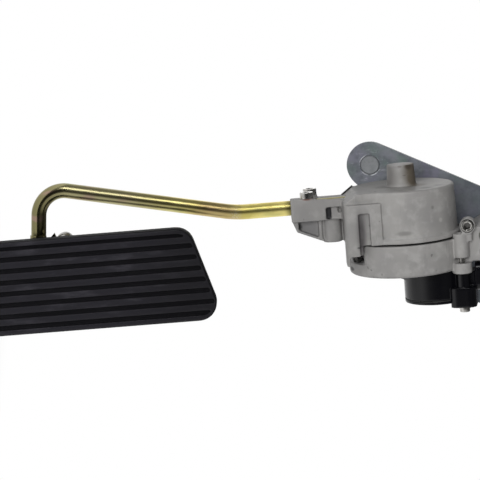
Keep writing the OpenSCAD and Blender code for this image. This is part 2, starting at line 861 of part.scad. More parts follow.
module rod_socket() {
    web = [
        [socket_top, -block_left + 1],
        [socket_top, -socket_out],
        [socket_top + 8, -socket_out],
        [-15, -socket_out + 0.8],
        [-9, -socket_out + 3.1],
        slant_end,
        [-0.8, -block_left - 2],
        [-0.8, -block_left + 1]
    ];
    rib = 2.6;
    thin_rib = 1.2;
    slab_y(-web_half, web_half) polygon(web);
    // upper channel round the rod
    box(
        [socket_top, -socket_half, -socket_out],
        [socket_low, socket_half, -block_left + 1]
    );
    // raised edge of the near wall, and the seats of the clamp screws
    slab_y(-socket_half, 3 - socket_half) polygon([
        [socket_top + 1, -block_left],
        [socket_top, -block_left],
        [socket_top - edge_rise, -socket_out],
        [socket_top + 1, -socket_out]
    ]);
    intersection() {
        for (p = clamp_places) translate([0, p.x, p.y])
            bar_x(clamp_seat, socket_top + 1, clamp_head_d / 2 + 0.3, clamp_head_d / 2 + 0.3);
        box([clamp_seat - 1, -socket_half, -socket_out], [0, socket_half, -block_left]);
    }
    // outer rib along the free edge, and the ribs of the web
    intersection() {
        slab_y(-rib_half, rib_half) polygon(web);
        union() {
            slab_y(-rib_half, rib_half) polygon([
                [socket_top, -socket_out - 1],
                [-15, -socket_out - 1],
                [-9, -socket_out + 2],
                slant_end,
                [slant_end.x - thin_rib * 1.4, slant_end.y],
                [-9 - thin_rib, -socket_out + 3.1 + thin_rib],
                [-15, -socket_out + 3.1 + thin_rib],
                [-15, -socket_out + 0.8 + rib],
                [socket_top, -socket_out + rib]
            ]);
            box([-20, -rib_half, column_z - 9], [0, rib_half, column_z - 6.6]);
        }
    }
    // upright column, seen on both sides of the web
    translate([0, 0, column_z]) for (side = [-1, 1])
        translate([0, side * web_half, 0]) bar_x(socket_low - 1, -0.8, column_r, column_r);
}

module lever_cuts() {
    // rounding of the block's corner towards the driver
    difference() {
        box(
            [lever_top - 1, -face_out - 1, -block_left - 1],
            [skin_h + 1, block_round - face_out, block_round - block_left]
        );
        translate([0, block_round - face_out, block_round - block_left])
            bar_x(lever_top - 2, skin_h + 2, block_round, block_round);
    }
    bar_x(drum_floor, 2, drum_bore_r, drum_bore_r);
    // slot in the front face, open at the bottom
    box(
        [-slot_h, -face_out - 1, -slot_left],
        [finger_h + 1, slot_depth - face_out, slot_w - slot_left]
    );
    // channel and bore for the rod
    box([clamp_seat - 1, -rod_r, -socket_out - 1], [rod_x, rod_r, -block_left]);
    translate([rod_x, 0, -socket_out - 1]) cylinder(h = socket_out + 1 + rod_end, r = rod_r);
    // clamp screws
    for (p = clamp_places) translate([0, p.x, p.y])
        bar_x(clamp_seat - 1, socket_top + clamp_l, clamp_d / 2, clamp_d / 2);
    // shallow pockets in both faces of the socket
    for (side = [-1, 1])
        box(
            [socket_low - 8.3, min(side * pocket_y, side * 20), -block_left - 0.6 - pocket_w],
            [socket_low - 0.2, max(side * pocket_y, side * 20), -block_left - 0.6]
        );
}

module lever_casting() {
    color(alloy) difference() {
        at_lever() {
            difference() {
                union() {
                    turned([
                        [0, lever_top],
                        for (a = [90:-15:0])
                            [
                                drum_r - drum_round + drum_round * cos(a),
                                lever_top + drum_round - drum_round * sin(a)
                            ],
                        [drum_r + drum_draft, -lip_h], [lip_r, -lip_h],
                        [lip_r, 0], [0, 0]
                    ]);
                    bar_x(boss_top, lever_top + 1, boss_r, boss_r + 0.9);
                    lever_block();
                    rod_socket();
                }
                lever_cuts();
                bar_x(boss_top + boss_wall, 5, shaft_r, shaft_r);
            }
            ring_x(drum_floor - 0.5, inner_hub_end, shaft_r, flange_r);
        }
        // holes for the upper legs of the return springs
        at_pivot() for (r = [inner_coil_r, outer_coil_r])
            translate(on_coil(r, 0, 2 * leg_bend))
                bar_x(drum_floor - spring_hole, drum_floor + 1, leg_hole_r, leg_hole_r);
    }
}

// Rubber strip along the far edge of the block's upper chamfer
module bumper_strip() {
    along = unit(cut_low - cut_up);
    out = strip_t * [along.y, -along.x];
    color(black) at_lever() slab_y(block_back - strip_w, block_back)
        polygon([cut_up, cut_low, cut_low + out, cut_up + out]);
}

module pivot_shaft() {
    color(steel) at_lever() difference() {
        turned([
            [0, boss_top + boss_wall + 0.2], [shaft_r, boss_top + boss_wall + 0.2],
            [shaft_r, clip_x], [clip_seat_r, clip_x],
            [clip_seat_r, clip_x + clip_t], [shaft_r, clip_x + clip_t],
            [shaft_r, nose_start], [nose_r, nose_start],
            [nose_r, nose_end], [0, nose_end]
        ]);
        box([rotor_top - 0.2, nose_flat, -nose_r - 1], [nose_end + 1, nose_r + 1, nose_r + 1]);
    }
}

module shaft_clip() {
    color(steel) at_lever() difference() {
        bar_x(clip_x, clip_x + clip_t, flange_r - 0.8, flange_r - 0.8);
        bar_x(clip_x - 1, clip_x + clip_t + 1, clip_seat_r, clip_seat_r);
        box([clip_x - 1, -1.6, 0], [clip_x + clip_t + 1, 1.6, flange_r + 1]);
    }
}

module sensor_rotor() {
    color(nylon) at_lever() difference() {
        union() {
            bar_x(rotor_top, rotor_bottom, rotor_r, rotor_r);
            box([rotor_bottom - 1.5, -1.5, 0], [rotor_bottom, 1.5, case_up]);
        }
        difference() {
            bar_x(rotor_top - 1, nose_end + 0.2, nose_r + 0.05, nose_r + 0.05);
            box([rotor_top - 2, nose_flat + 0.05, -5], [nose_end + 1, 5, 5]);
        }
    }
}

// Bent rod, from points of x and z
rod_bore_end = [rod_x, rod_end];
rod_kink = [rod_x, -kink_out];
rod_corner = rod_kink - (corner_out - kink_out) * [tan(kink_angle), 1];
leg_way = [cos(leg_lean), -sin(leg_lean)];
rod_tip = rod_corner + leg_way * (leg_end - rod_corner.x) / leg_way.x;

module pedal_rod() {
    bends = concat(
        [rod_bore_end],
        corner_arc(rod_bore_end, rod_kink, rod_corner, kink_r, 6),
        corner_arc(rod_kink, rod_corner, rod_tip, bend_r, 18),
        [rod_tip]
    );
    color(gold) at_lever() wire([for (p = bends) [p.x, 0, p.y]], rod_r, 32, [0, 1, 0]);
}

module clamp_screws() {
    color(steel) at_lever() for (p = clamp_places)
        translate([0, p.x, p.y]) difference() {
            union() {
                bar_x(clamp_seat - clamp_head_h, clamp_seat, clamp_head_d / 2, clamp_head_d / 2);
                bar_x(clamp_seat, socket_top + clamp_l, clamp_d / 2, clamp_d / 2);
            }
            translate([clamp_seat - clamp_head_h - 1, 0, 0]) rotate([0, 90, 0])
                cylinder(h = 3.4, r = clamp_d * 0.46, $fn = 6);
        }
}

// Bracket welded to the rod's leg, with ears for the hinge pin
module bracket_ear(x) {
    slab_x(x, x + bracket_t) {
        polygon(rolled([[0, leg_z], [pin_y, -pin_out]], bracket_r));
        polygon([
            [pin_y, leg_z + 4], [web_back, web_low], [web_back, web_high], [pin_y, web_high]
        ]);
    }
}

module pad_bracket() {
    bead = 0.7;
    bead_h = 4;
    tab_h = 5;
    color(gold) at_lever() difference() {
        union() {
            bracket_ear(ear_left);
            bracket_ear(ear_right - bracket_t);
            slab_y(web_front, web_back) polygon([
                [ear_left, web_low], [ear_right, web_low],
                [ear_right, web_high], [ear_left, web_high]
            ]);
            translate([0, 0, leg_z]) bar_x(ear_left - bead_h, ear_left, rod_r + 0.3, rod_r + bead);
            // small stop tab that stands up beside the pin's head
            slab_y(pin_y, pin_y + bracket_t) polygon([
                [ear_left + 1, -pin_out - pin_head_d / 2 - 7],
                [ear_left, -pin_out - pin_head_d / 2 - 7],
                [ear_left - tab_h, -pin_out - pin_head_d / 2 - 2],
                [ear_left, -pin_out - pin_head_d / 2 - 0.4],
                [ear_left + 1, -pin_out - pin_head_d / 2 - 0.4]
            ]);
        }
        translate([rod_tip.x, 0, rod_tip.y]) rotate([0, leg_lean, 0])
            bar_x(-2 * bracket_w, rod_r, rod_r, rod_r);
        translate([0, pin_y, -pin_out]) bar_x(ear_left - 5, ear_right + 5, pin_r, pin_r);
    }
}

module hinge_pin() {
    groove_x = ear_right + 0.3;
    color(steel) at_lever() translate([0, pin_y, -pin_out]) {
        intersection() {
            bar_x(ear_left - pin_head_h, ear_left, pin_head_d / 2, pin_head_d / 2);
            translate([ear_left - pin_head_h + pin_dome_r, 0, 0]) sphere(pin_dome_r);
        }
        bar_x(ear_left, groove_x, pin_r, pin_r);
        bar_x(groove_x, groove_x + clip_t, pin_r - clip_groove, pin_r - clip_groove);
        bar_x(groove_x + clip_t, groove_x + clip_t + 1.5, pin_r, pin_r);
    }
}

module hinge_clip() {
    clip_at = ear_right + 0.3;
    color(steel) at_lever() translate([0, pin_y, -pin_out]) difference() {
        bar_x(clip_at, clip_at + clip_t, pin_r + 2.2, pin_r + 2.2);
        bar_x(clip_at - 1, clip_at + clip_t + 1, pin_r - clip_groove, pin_r - clip_groove);
        box([clip_at - 1, -1, 0], [clip_at + clip_t + 1, 1, 6]);
    }
}

// Pad: its outline drawn in by inset, as seen from the driver
function pad_top_z(x) = (x - pad_left) * pad_slant / pad_w - pad_near;

function pad_outline(inset) =
    let (
        left = pad_left + inset,
        right = pad_right - inset,
        low = inset - pad_far,
        drop = inset * norm([pad_slant, pad_w]) / pad_w,
        r = pad_corner - inset
    )
    rounded(
        [[left, low], [right, low], [right, pad_top_z(right) - drop], [left, pad_top_z(left) - drop]],
        [r, r, r, r]
    );

module pad_rubber() {
    back = pad_plate_back;
    front = -pad_face;
    color(black) at_lever() difference() {
        union() {
            slab_y(front + 1, back + rubber_back) polygon(pad_outline(0));
            slab_y(front, front + 1) polygon(pad_outline(0.7));
        }
        slab_y(back - pad_plate_t, back) polygon(pad_outline(lip_w));
        slab_y(back - 0.5, back + rubber_back + 1) polygon(pad_outline(lip_w + 3));
        slab_y(front - 1, front + groove_depth) intersection() {
            polygon(pad_outline(groove_stop));
            for (i = [0:groove_count - 1])
                translate([pad_left + groove_edge - groove_w / 2 + i * groove_pitch, -pad_far])
                    square([groove_w, pad_far]);
        }
    }
}

module pad_plate() {
    back = pad_plate_back;
    color(gold) at_lever() difference() {
        union() {
            slab_y(back - pad_plate_t, back) polygon(pad_outline(lip_w));
            for (x = [pad_ear_left, pad_ear_right])
                slab_x(x, x + pad_plate_t) {
                    translate([pin_y, -pin_out]) circle(pad_ear_r);
                    translate([back - 1, -pin_out - pad_ear_r])
                        square([pin_y - back + 1, 2 * pad_ear_r]);
                }
        }
        translate([0, pin_y, -pin_out])
            bar_x(ear_left, ear_right, pin_bush_r, pin_bush_r);
    }
}

module pad_bushes() {
    color(nylon) at_lever() translate([0, pin_y, -pin_out]) {
        ring_x(pad_ear_left, pad_ear_left + pad_plate_t, pin_r + run_gap, pin_bush_r);
        ring_x(
            pad_ear_left + pad_plate_t, pad_ear_left + pad_plate_t + 1,
            pin_r + run_gap, pin_bush_r + 1
        );
        ring_x(pad_ear_right, pad_ear_right + pad_plate_t, pin_r + run_gap, pin_bush_r);
        ring_x(pad_ear_right - 1, pad_ear_right, pin_r + run_gap, pin_bush_r + 1);
    }
}

module pad_spacer() {
    color(nylon) at_lever() translate([0, pin_y, -pin_out])
        ring_x(
            pad_ear_left + pad_plate_t + 1.1, pad_ear_right - 1.1,
            pin_r + 0.1, pad_spring_r - pad_wire_d / 2 - 0.3
        );
}

// Torsion spring on the hinge pin, with one leg on the pad and one on the bracket
module pad_spring() {
    r = pad_spring_r;
    turns = 6.5;
    steps = 16 * turns;
    pitch = pad_wire_d * 1.4;
    start = (ear_left + ear_right - turns * pitch) / 2;
    coil = [
        for (i = [0:steps])
        let (a = 180 + 360 * turns * i / steps)
        [start + pitch * turns * i / steps, r * cos(a), r * sin(a)]
    ];
    pad_leg = [[start, -r, 16], [start, -r, 8]];
    bracket_leg = [[start + pitch * turns, r, 3], [start + pitch * turns, r, 7]];
    color(steel) at_lever() translate([0, pin_y, -pin_out])
        wire(concat(pad_leg, coil, bracket_leg), pad_wire_d / 2);
}

mounting_plate();
mounting_studs();
housing();
housing_screws();
hub_bush_inner();
hub_bush_outer();
thrust_washer();
return_spring_outer();
return_spring_inner();
sensor_case();
sensor_gasket();
sensor_cover();
sensor_circuit_board();
sensor_terminals();
sensor_sleeves();
sensor_screws();
lever_casting();
bumper_strip();
pivot_shaft();
shaft_clip();
sensor_rotor();
pedal_rod();
clamp_screws();
pad_bracket();
hinge_pin();
hinge_clip();
pad_plate();
pad_rubber();
pad_bushes();
pad_spacer();
pad_spring();
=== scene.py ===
# %% [markdown]
# # A hanging accelerator pedal
# The object is a studded steel plate with a cast housing on it, a cast lever that turns in
# the housing, a bent rod and a grooved rubber pad. Its solids, sizes and joints come from
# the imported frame. This script gives each piece the surface and the small forms that the
# solids leave out: soft cast edges, threads, round wire, and a finish for every material.

# %% Frame
import json
import math

import bmesh
import bpy
from mathutils import Matrix, Vector


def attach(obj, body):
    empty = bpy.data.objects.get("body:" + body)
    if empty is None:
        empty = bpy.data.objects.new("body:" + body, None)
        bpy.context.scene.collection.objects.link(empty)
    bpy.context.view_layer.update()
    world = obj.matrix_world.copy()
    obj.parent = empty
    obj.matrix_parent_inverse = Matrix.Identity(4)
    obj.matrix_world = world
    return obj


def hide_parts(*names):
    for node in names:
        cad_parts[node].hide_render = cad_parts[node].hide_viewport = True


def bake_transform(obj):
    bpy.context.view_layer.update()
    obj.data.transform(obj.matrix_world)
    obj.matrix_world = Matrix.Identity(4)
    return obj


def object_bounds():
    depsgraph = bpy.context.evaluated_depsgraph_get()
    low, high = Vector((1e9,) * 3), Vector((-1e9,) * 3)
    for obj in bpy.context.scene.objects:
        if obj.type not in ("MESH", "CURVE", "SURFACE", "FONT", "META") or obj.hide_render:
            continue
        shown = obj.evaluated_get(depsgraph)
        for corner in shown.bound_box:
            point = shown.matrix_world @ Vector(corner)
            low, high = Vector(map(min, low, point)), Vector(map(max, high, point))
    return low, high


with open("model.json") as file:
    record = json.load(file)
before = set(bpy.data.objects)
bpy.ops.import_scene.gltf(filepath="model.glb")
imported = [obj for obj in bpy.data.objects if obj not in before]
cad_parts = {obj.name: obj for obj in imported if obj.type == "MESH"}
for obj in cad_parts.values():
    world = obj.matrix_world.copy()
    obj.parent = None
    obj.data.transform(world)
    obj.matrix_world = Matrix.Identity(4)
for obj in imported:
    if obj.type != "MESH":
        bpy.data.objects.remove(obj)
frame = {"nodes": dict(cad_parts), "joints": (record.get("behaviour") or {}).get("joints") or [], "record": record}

cad_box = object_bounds()
MM = 0.001
JOINTS = {joint["name"]: joint for joint in frame["joints"]}
PIVOT = Vector(JOINTS["pedal_swing"]["pos_m"])
HINGE = Vector(JOINTS["pad_swivel"]["pos_m"])
# the angle by which the lever leans towards the driver at rest
REST_TILT = math.radians(10)
print("CAD box in mm:", [round(v / MM, 1) for corner in cad_box for v in corner])

# %% [markdown]
# ## Camera
# The photograph shows the pedal lying on its side: what hangs down in a car points to the
# left, and the plate is at the back. So the camera looks along the studs and is rolled by a
# quarter turn. Its direction is written as three angles round the pivot, found by matching
# edges of the solids with the photograph.

# %% Camera
CAMERA_TURN = math.radians(11.24)
CAMERA_HEIGHT = math.radians(9.18)
CAMERA_ROLL = math.radians(4.72)
CAMERA_DISTANCE = 1.3
CAMERA_LOOK = PIVOT + Vector((-2.6, 0, -111.7)) * MM
LENS, SENSOR = 144.2, 36
CLIP_END = 20

AWAY = Vector((
    -math.sin(CAMERA_HEIGHT),
    -math.cos(CAMERA_HEIGHT) * math.cos(CAMERA_TURN),
    math.cos(CAMERA_HEIGHT) * math.sin(CAMERA_TURN),
))
LEVEL = (-AWAY).cross(Vector((-1, 0, 0))).normalized()
RISE = LEVEL.cross(-AWAY)
RIGHT = math.cos(CAMERA_ROLL) * LEVEL - math.sin(CAMERA_ROLL) * RISE
UP = math.sin(CAMERA_ROLL) * LEVEL + math.cos(CAMERA_ROLL) * RISE


def new_object(name, data):
    made = bpy.data.objects.new(name, data)
    bpy.context.collection.objects.link(made)
    return made


def make_camera():
    """A camera whose picture has the pivot axis upright and the lever pointing to the left."""
    camera = new_object("camera", bpy.data.cameras.new("camera"))
    camera.data.lens = LENS
    camera.data.sensor_width = SENSOR
    camera.data.clip_end = CLIP_END
    axes = Matrix((RIGHT, UP, AWAY)).transposed()
    camera.matrix_world = Matrix.Translation(CAMERA_LOOK + AWAY * CAMERA_DISTANCE) @ axes.to_4x4()
    bpy.context.scene.camera = camera
    return camera


camera = make_camera()
print("camera at", [round(v, 3) for v in camera.location])

# %% [markdown]
# ## Lamps
# The photograph was lit softly, from above the camera and a little from the left: the rod
# has narrow highlights, and the drum darkens to the right. A wide lamp beside the camera
# lights the surfaces. It isn't mirrored, because so near the camera it would put a white
# spot on every round form. A weaker lamp high above makes the highlights, and one behind
# the part lights its rims. Area lamps are used because their size sets how soft a shadow is.

# %% Lamps
def make_lamp(name, place, size, power, mirrored=True):
    """A square area lamp that faces the middle of the part; place is right, up and near."""
    data = bpy.data.lights.new(name, "AREA")
    data.shape = "SQUARE"
    data.size = size
    data.energy = power
    lamp = new_object(name, data)
    lamp.location = CAMERA_LOOK + RIGHT * place[0] + UP * place[1] + AWAY * place[2]
    lamp.rotation_euler = (CAMERA_LOOK - lamp.location).to_track_quat("-Z", "Y").to_euler()
    lamp.visible_glossy = mirrored
    print(name, "of", power, "W")


make_lamp("front_lamp", (-0.12, 0.14, 1.2), size=0.6, power=15.2, mirrored=False)
make_lamp("upper_lamp", (-0.12, 0.86, 1.05), size=0.4, power=2.8)
make_lamp("rim_lamp", (0.3, 0.5, -0.9), size=0.8, power=1.5)

# %% [markdown]
# ## Shader maths
# A finish is easier to read as an expression than as a list of links. `Value` wraps a
# socket, so `grain * 0.3 + 0.2` adds two Math nodes. `Finish` holds one material and makes
# every other node through one method.

# %% Values
class Value:
    """A number in a shader. Sums and products of it add Math nodes."""

    def __init__(self, finish, socket):
        self.finish = finish
        self.socket = socket

    def math(self, operation, first, second, clamp=False):
        settings = {"operation": operation, "use_clamp": clamp}
        return Value(self.finish, self.finish.node("Math", settings, [first, second]))

    def __add__(self, other):
        return self.math("ADD", self, other)

    def __sub__(self, other):
        return self.math("SUBTRACT", self, other)

    def __rsub__(self, other):
        return self.math("SUBTRACT", other, self)

    def __mul__(self, other):
        return self.math("MULTIPLY", self, other)

    __radd__ = __add__
    __rmul__ = __mul__

    def clamped(self):
        return self.math("ADD", self, 0.0, clamp=True)

    def above(self, low, high):
        """0 where the value is under low, 1 where it is over high, smooth between."""
        settings = {"interpolation_type": "SMOOTHSTEP"}
        inputs = {"Value": self, "From Min": low, "From Max": high}
        return Value(self.finish, self.finish.node("MapRange", settings, inputs))

    def band(self, start, full, fading, end):
        """1 from full to fading, and 0 before start and after end."""
        return self.above(start, full) * (1 - self.above(fading, end))


# %% Nodes
class Nodes:
    """The nodes of one shader."""

    def __init__(self, owner):
        owner.use_nodes = True
        self.tree = owner.node_tree

    def node(self, kind, settings=None, inputs=(), output=0):
        """Adds a node: its settings first, then the values or links of its sockets."""
        made = self.tree.nodes.new("ShaderNode" + kind)
        for name, setting in (settings or {}).items():
            setattr(made, name, setting)
        pairs = inputs.items() if isinstance(inputs, dict) else enumerate(inputs)
        for key, value in pairs:
            self.feed(made.inputs[key], value)
        return made.outputs[output]

    def feed(self, socket, value):
        """Links a socket to a value's socket, or sets it to a plain number or colour."""
        value = value.socket if isinstance(value, Value) else value
        if isinstance(value, bpy.types.NodeSocket):
            self.tree.links.new(value, socket)
        else:
            socket.default_value = value

    def mix(self, factor, first, second):
        """A blend of two colours."""
        colours = [c if isinstance(c, bpy.types.NodeSocket) else (*c, 1) for c in (first, second)]
        inputs = {0: factor, 6: colours[0], 7: colours[1]}
        return self.node("Mix", {"data_type": "RGBA"}, inputs, output=2)

    def along(self, place, direction):
        """How far a place or direction goes along a fixed direction."""
        inputs = [place, tuple(direction)]
        settings = {"operation": "DOT_PRODUCT"}
        return Value(self, self.node("VectorMath", settings, inputs, "Value"))

    def distance(self, place, centre):
        settings = {"operation": "DISTANCE"}
        return Value(self, self.node("VectorMath", settings, [place, tuple(centre)], "Value"))

    def ray(self, kind):
        """1 for rays of one kind, and 0 for all others."""
        return Value(self, self.node("LightPath", output="Is " + kind + " Ray"))


# %% Finish
class Finish(Nodes):
    """One material and the nodes of its surface."""

    def __init__(self, name, metallic=0.0, coat=0.0, specular=0.5):
        self.material = bpy.data.materials.new(name)
        super().__init__(self.material)
        self.surface = self.tree.nodes["Principled BSDF"]
        self.surface.inputs["Metallic"].default_value = metallic
        self.surface.inputs["Coat Weight"].default_value = coat
        self.surface.inputs["Specular IOR Level"].default_value = specular
        self.place = self.node("TexCoord", output="Object")

    def stretched(self, stretch):
        """The place with its x, y and z multiplied."""
        return self.node("Mapping", None, {"Vector": self.place, "Scale": stretch})

    def height(self):
        """The place's z in metres."""
        return self.along(self.place, (0, 0, 1))

    def near(self, centre, reach, stretch=(1, 1, 1)):
        """1 at a place of the frame, fading to 0 at the distance reach."""
        centre = Vector(a * b for a, b in zip(centre, stretch))
        return 1 - self.distance(self.stretched(stretch), centre).above(reach * 0.3, reach)

    def noise(self, size, detail=3.0, roughness=0.5, stretch=None):
        """Noise whose lumps are about size metres wide, as a value from 0 to 1."""
        place = self.stretched(stretch) if stretch else self.place
        inputs = {"Vector": place, "Scale": 1 / size, "Detail": detail, "Roughness": roughness}
        return Value(self, self.node("TexNoise", None, inputs))

    def from_axis(self, centre):
        """The distance from a line along Y through a place, in mm."""
        centre = Vector((centre.x, 0, centre.z))
        return self.distance(self.stretched((1, 0, 1)), centre) * 1000

    def bump(self, height, depth):
        """Turns a height from 0 to 1 into slopes; depth is its real size in metres."""
        inputs = {"Height": height, "Distance": depth, "Strength": 1.0}
        self.feed(self.surface.inputs["Normal"], self.node("Bump", None, inputs, "Normal"))

    def set(self, colour, roughness):
        self.feed(self.surface.inputs["Base Color"], colour)
        self.feed(self.surface.inputs["Roughness"], roughness)
        return self.material


for kind in (Value, Nodes, Finish):
    print(kind.__name__, "has", [name for name in vars(kind) if name[0] != "_"])

# %% [markdown]
# ## Floor
# The part lies over white paper. Near it the paper shows a soft shadow, and farther out it
# turns into plain white, as it does in a studio where the paper is lit by itself. A mix
# with white light makes this. It acts only on rays from the camera and on mirrored and
# passing ones, so the soft light that the paper throws on the part stays real.

# %% Floor
PAPER, PAPER_FIBRE = (0.86, 0.86, 0.86), (0.8, 0.8, 0.8)
SHADOW_CENTRE = Vector((0.055, -0.116, cad_box[0].z))
SHADOW_START, SHADOW_END = 0.05, 0.15
FLOOR_WHITENESS = 0.6
FLOOR_HALF, FLOOR_FRONT = 6.0, -0.3
FLOOR_GAP = 0.5 * MM


def white_for_camera(finish, whiteness, shader):
    """Mixes white light into a shader, for camera, glossy and transmission rays only."""
    seen = finish.ray("Camera") + finish.ray("Glossy") + finish.ray("Transmission")
    white = finish.node("Emission", None, {"Strength": 1.0})
    return finish.node("MixShader", None, [seen.clamped() * whiteness, shader, white])


def make_floor():
    """A sheet of pale paper under the part; it ends short of the camera, so plastic stays dark."""
    finish = Finish("paper", specular=0.2)
    finish.set(finish.mix(finish.noise(0.004) * 0.1, PAPER, PAPER_FIBRE), 0.9)
    far = finish.distance(finish.place, SHADOW_CENTRE).above(SHADOW_START, SHADOW_END)
    far = far * (1 - FLOOR_WHITENESS) + FLOOR_WHITENESS
    shader = white_for_camera(finish, far, finish.surface.outputs[0])
    finish.tree.links.new(shader, finish.tree.nodes["Material Output"].inputs["Surface"])
    z = cad_box[0].z - FLOOR_GAP
    corners = [(x, y, z) for y in (FLOOR_FRONT, FLOOR_HALF) for x in (-FLOOR_HALF, FLOOR_HALF)]
    mesh = bpy.data.meshes.new("floor")
    mesh.from_pydata(corners, [], [(0, 1, 3, 2)])
    mesh.materials.append(finish.material)
    floor = new_object("floor", mesh)
    print("floor at", round(z / MM, 1), "mm")


make_floor()

# %% [markdown]
# ## World
# What metal mirrors matters as much as the lamps, so the world has its own strength for
# glossy rays: dim above, pale below and at the left, and nearly black round the camera.
# Screens round the part would do the same, but a world has no edges and casts no shadow.
# An edge below is a pair of cosines between which the strength changes.

# %% World
BELOW_EDGE, LEFT_EDGE = (-0.56, -0.34), (0.4, 0.95)
RIGHT_EDGE, FRONT_EDGE = (0.05, 0.8), (0.82, 0.95)
GLOSS_BELOW, GLOSS_LEFT, GLOSS_BASE = 0.65, 1.0, 0.15
RIGHT_DIMMED, FRONT_DIMMED = 0.45, 0.88
SOFT_LEVEL, SOFT_FALL = 0.34, 0.29


def make_world():
    """Soft light from all round: white for the camera, and shaped for glossy rays."""
    world = bpy.data.worlds.new("tent")
    bpy.context.scene.world = world
    sky = Nodes(world)
    way = sky.node("TexCoord", output="Generated")
    near, right, up = (sky.along(way, axis) for axis in (AWAY, RIGHT, UP))
    below = 1 - up.above(*BELOW_EDGE)
    left = (-1 * right).above(*LEFT_EDGE)
    mirrored = below * GLOSS_BELOW + left * GLOSS_LEFT + GLOSS_BASE
    mirrored = mirrored * (1 - right.above(*RIGHT_EDGE) * RIGHT_DIMMED)
    mirrored = mirrored * (1 - near.above(*FRONT_EDGE) * FRONT_DIMMED)
    white = (1, 1, 1, 1)
    soft = sky.node("Background", None, [white, SOFT_LEVEL - up * SOFT_FALL])
    glossy = sky.node("Background", None, [white, mirrored])
    seen = sky.node("Background", None, [white, 1.0])
    light = sky.node("MixShader", None, [sky.ray("Glossy"), soft, glossy])
    light = sky.node("MixShader", None, [sky.ray("Camera"), light, seen])
    sky.tree.links.new(light, sky.tree.nodes["World Output"].inputs["Surface"])
    print("world of", len(sky.tree.nodes), "nodes")


make_world()
bpy.context.scene.view_settings.view_transform = "Standard"

# %% [markdown]
# ## Places
# Some marks belong to one spot, so the finishes need the places of a few features: the
# studs, the boss on the shaft and the bend of the rod. They're written in millimetres in
# the frame of the hanging lever and turned into the shared frame.

# %% Places
ROD_UP, ROD_R = 24.4, 5.0
ROD_START, LEG_END = 31.5, 30.0
KINK_OUT, KINK_ANGLE, KINK_R = 111.0, math.radians(12), 75.0
CORNER_OUT, LEG_LEAN, BEND_R = 239.6, math.radians(6), 17.0
PLATE_FACE = -3
STUDS = [Vector((x, PLATE_FACE, z)) * MM for x, z in ((0, 0), (47, 95), (84.5, 74))]


def at_pivot(x, y, z):
    """A place in mm from the pivot, as a place in the frame."""
    return PIVOT + Vector((x, y, z)) * MM


def in_lever(x, y, z):
    """The same in the hanging lever, which leans by its rest tilt."""
    c, s = math.cos(REST_TILT), math.sin(REST_TILT)
    return at_pivot(x, y * c + z * s, z * c - y * s)


def at_hinge(x, y, z):
    """A place in mm from the middle of the pad's hinge, in the lever's directions."""
    return in_lever(x, y, z) - PIVOT + HINGE


LEVER_Y = (in_lever(0, 1, 0) - in_lever(0, 0, 0)).normalized()
print("rod bends at", [round(v / MM) for v in in_lever(-ROD_UP, 0, -KINK_OUT)], "mm")

# %% [markdown]
# ## Cast aluminium
# Housing and lever are pressure castings, left raw: a dull warm grey with broad clouds where
# the metal flowed, a fine grain, a few pits, and scuffs. A picture wrapped round them would
# show seams, so the finish is noise of several sizes. The colour darkens towards the rod end.
# Marks that belong to one place, such as grime round the boss and painted shade in slots, a
# notch and on the web, are laid over it: each fades with the distance from its centre. A
# painted shade also darkens the gap between drum and housing.

# %% Cast aluminium
# the casting's colour darkens towards the rod end: fully below the first height, not at all above the second
DARKER_BELOW, LIGHTER_ABOVE = PIVOT.z - 60 * MM, PIVOT.z + 30 * MM

# painted shade: the dark line in the gap between drum and housing: where it starts, is full, fades and ends
SEAM_SHADE_ACROSS = [PIVOT.x + x * MM for x in (-0.5, 0.1, 0.7, 1.2)]
SEAM_SHADE_ALONG = [PIVOT.z + z * MM for z in (-28, -26, 33, 35)]

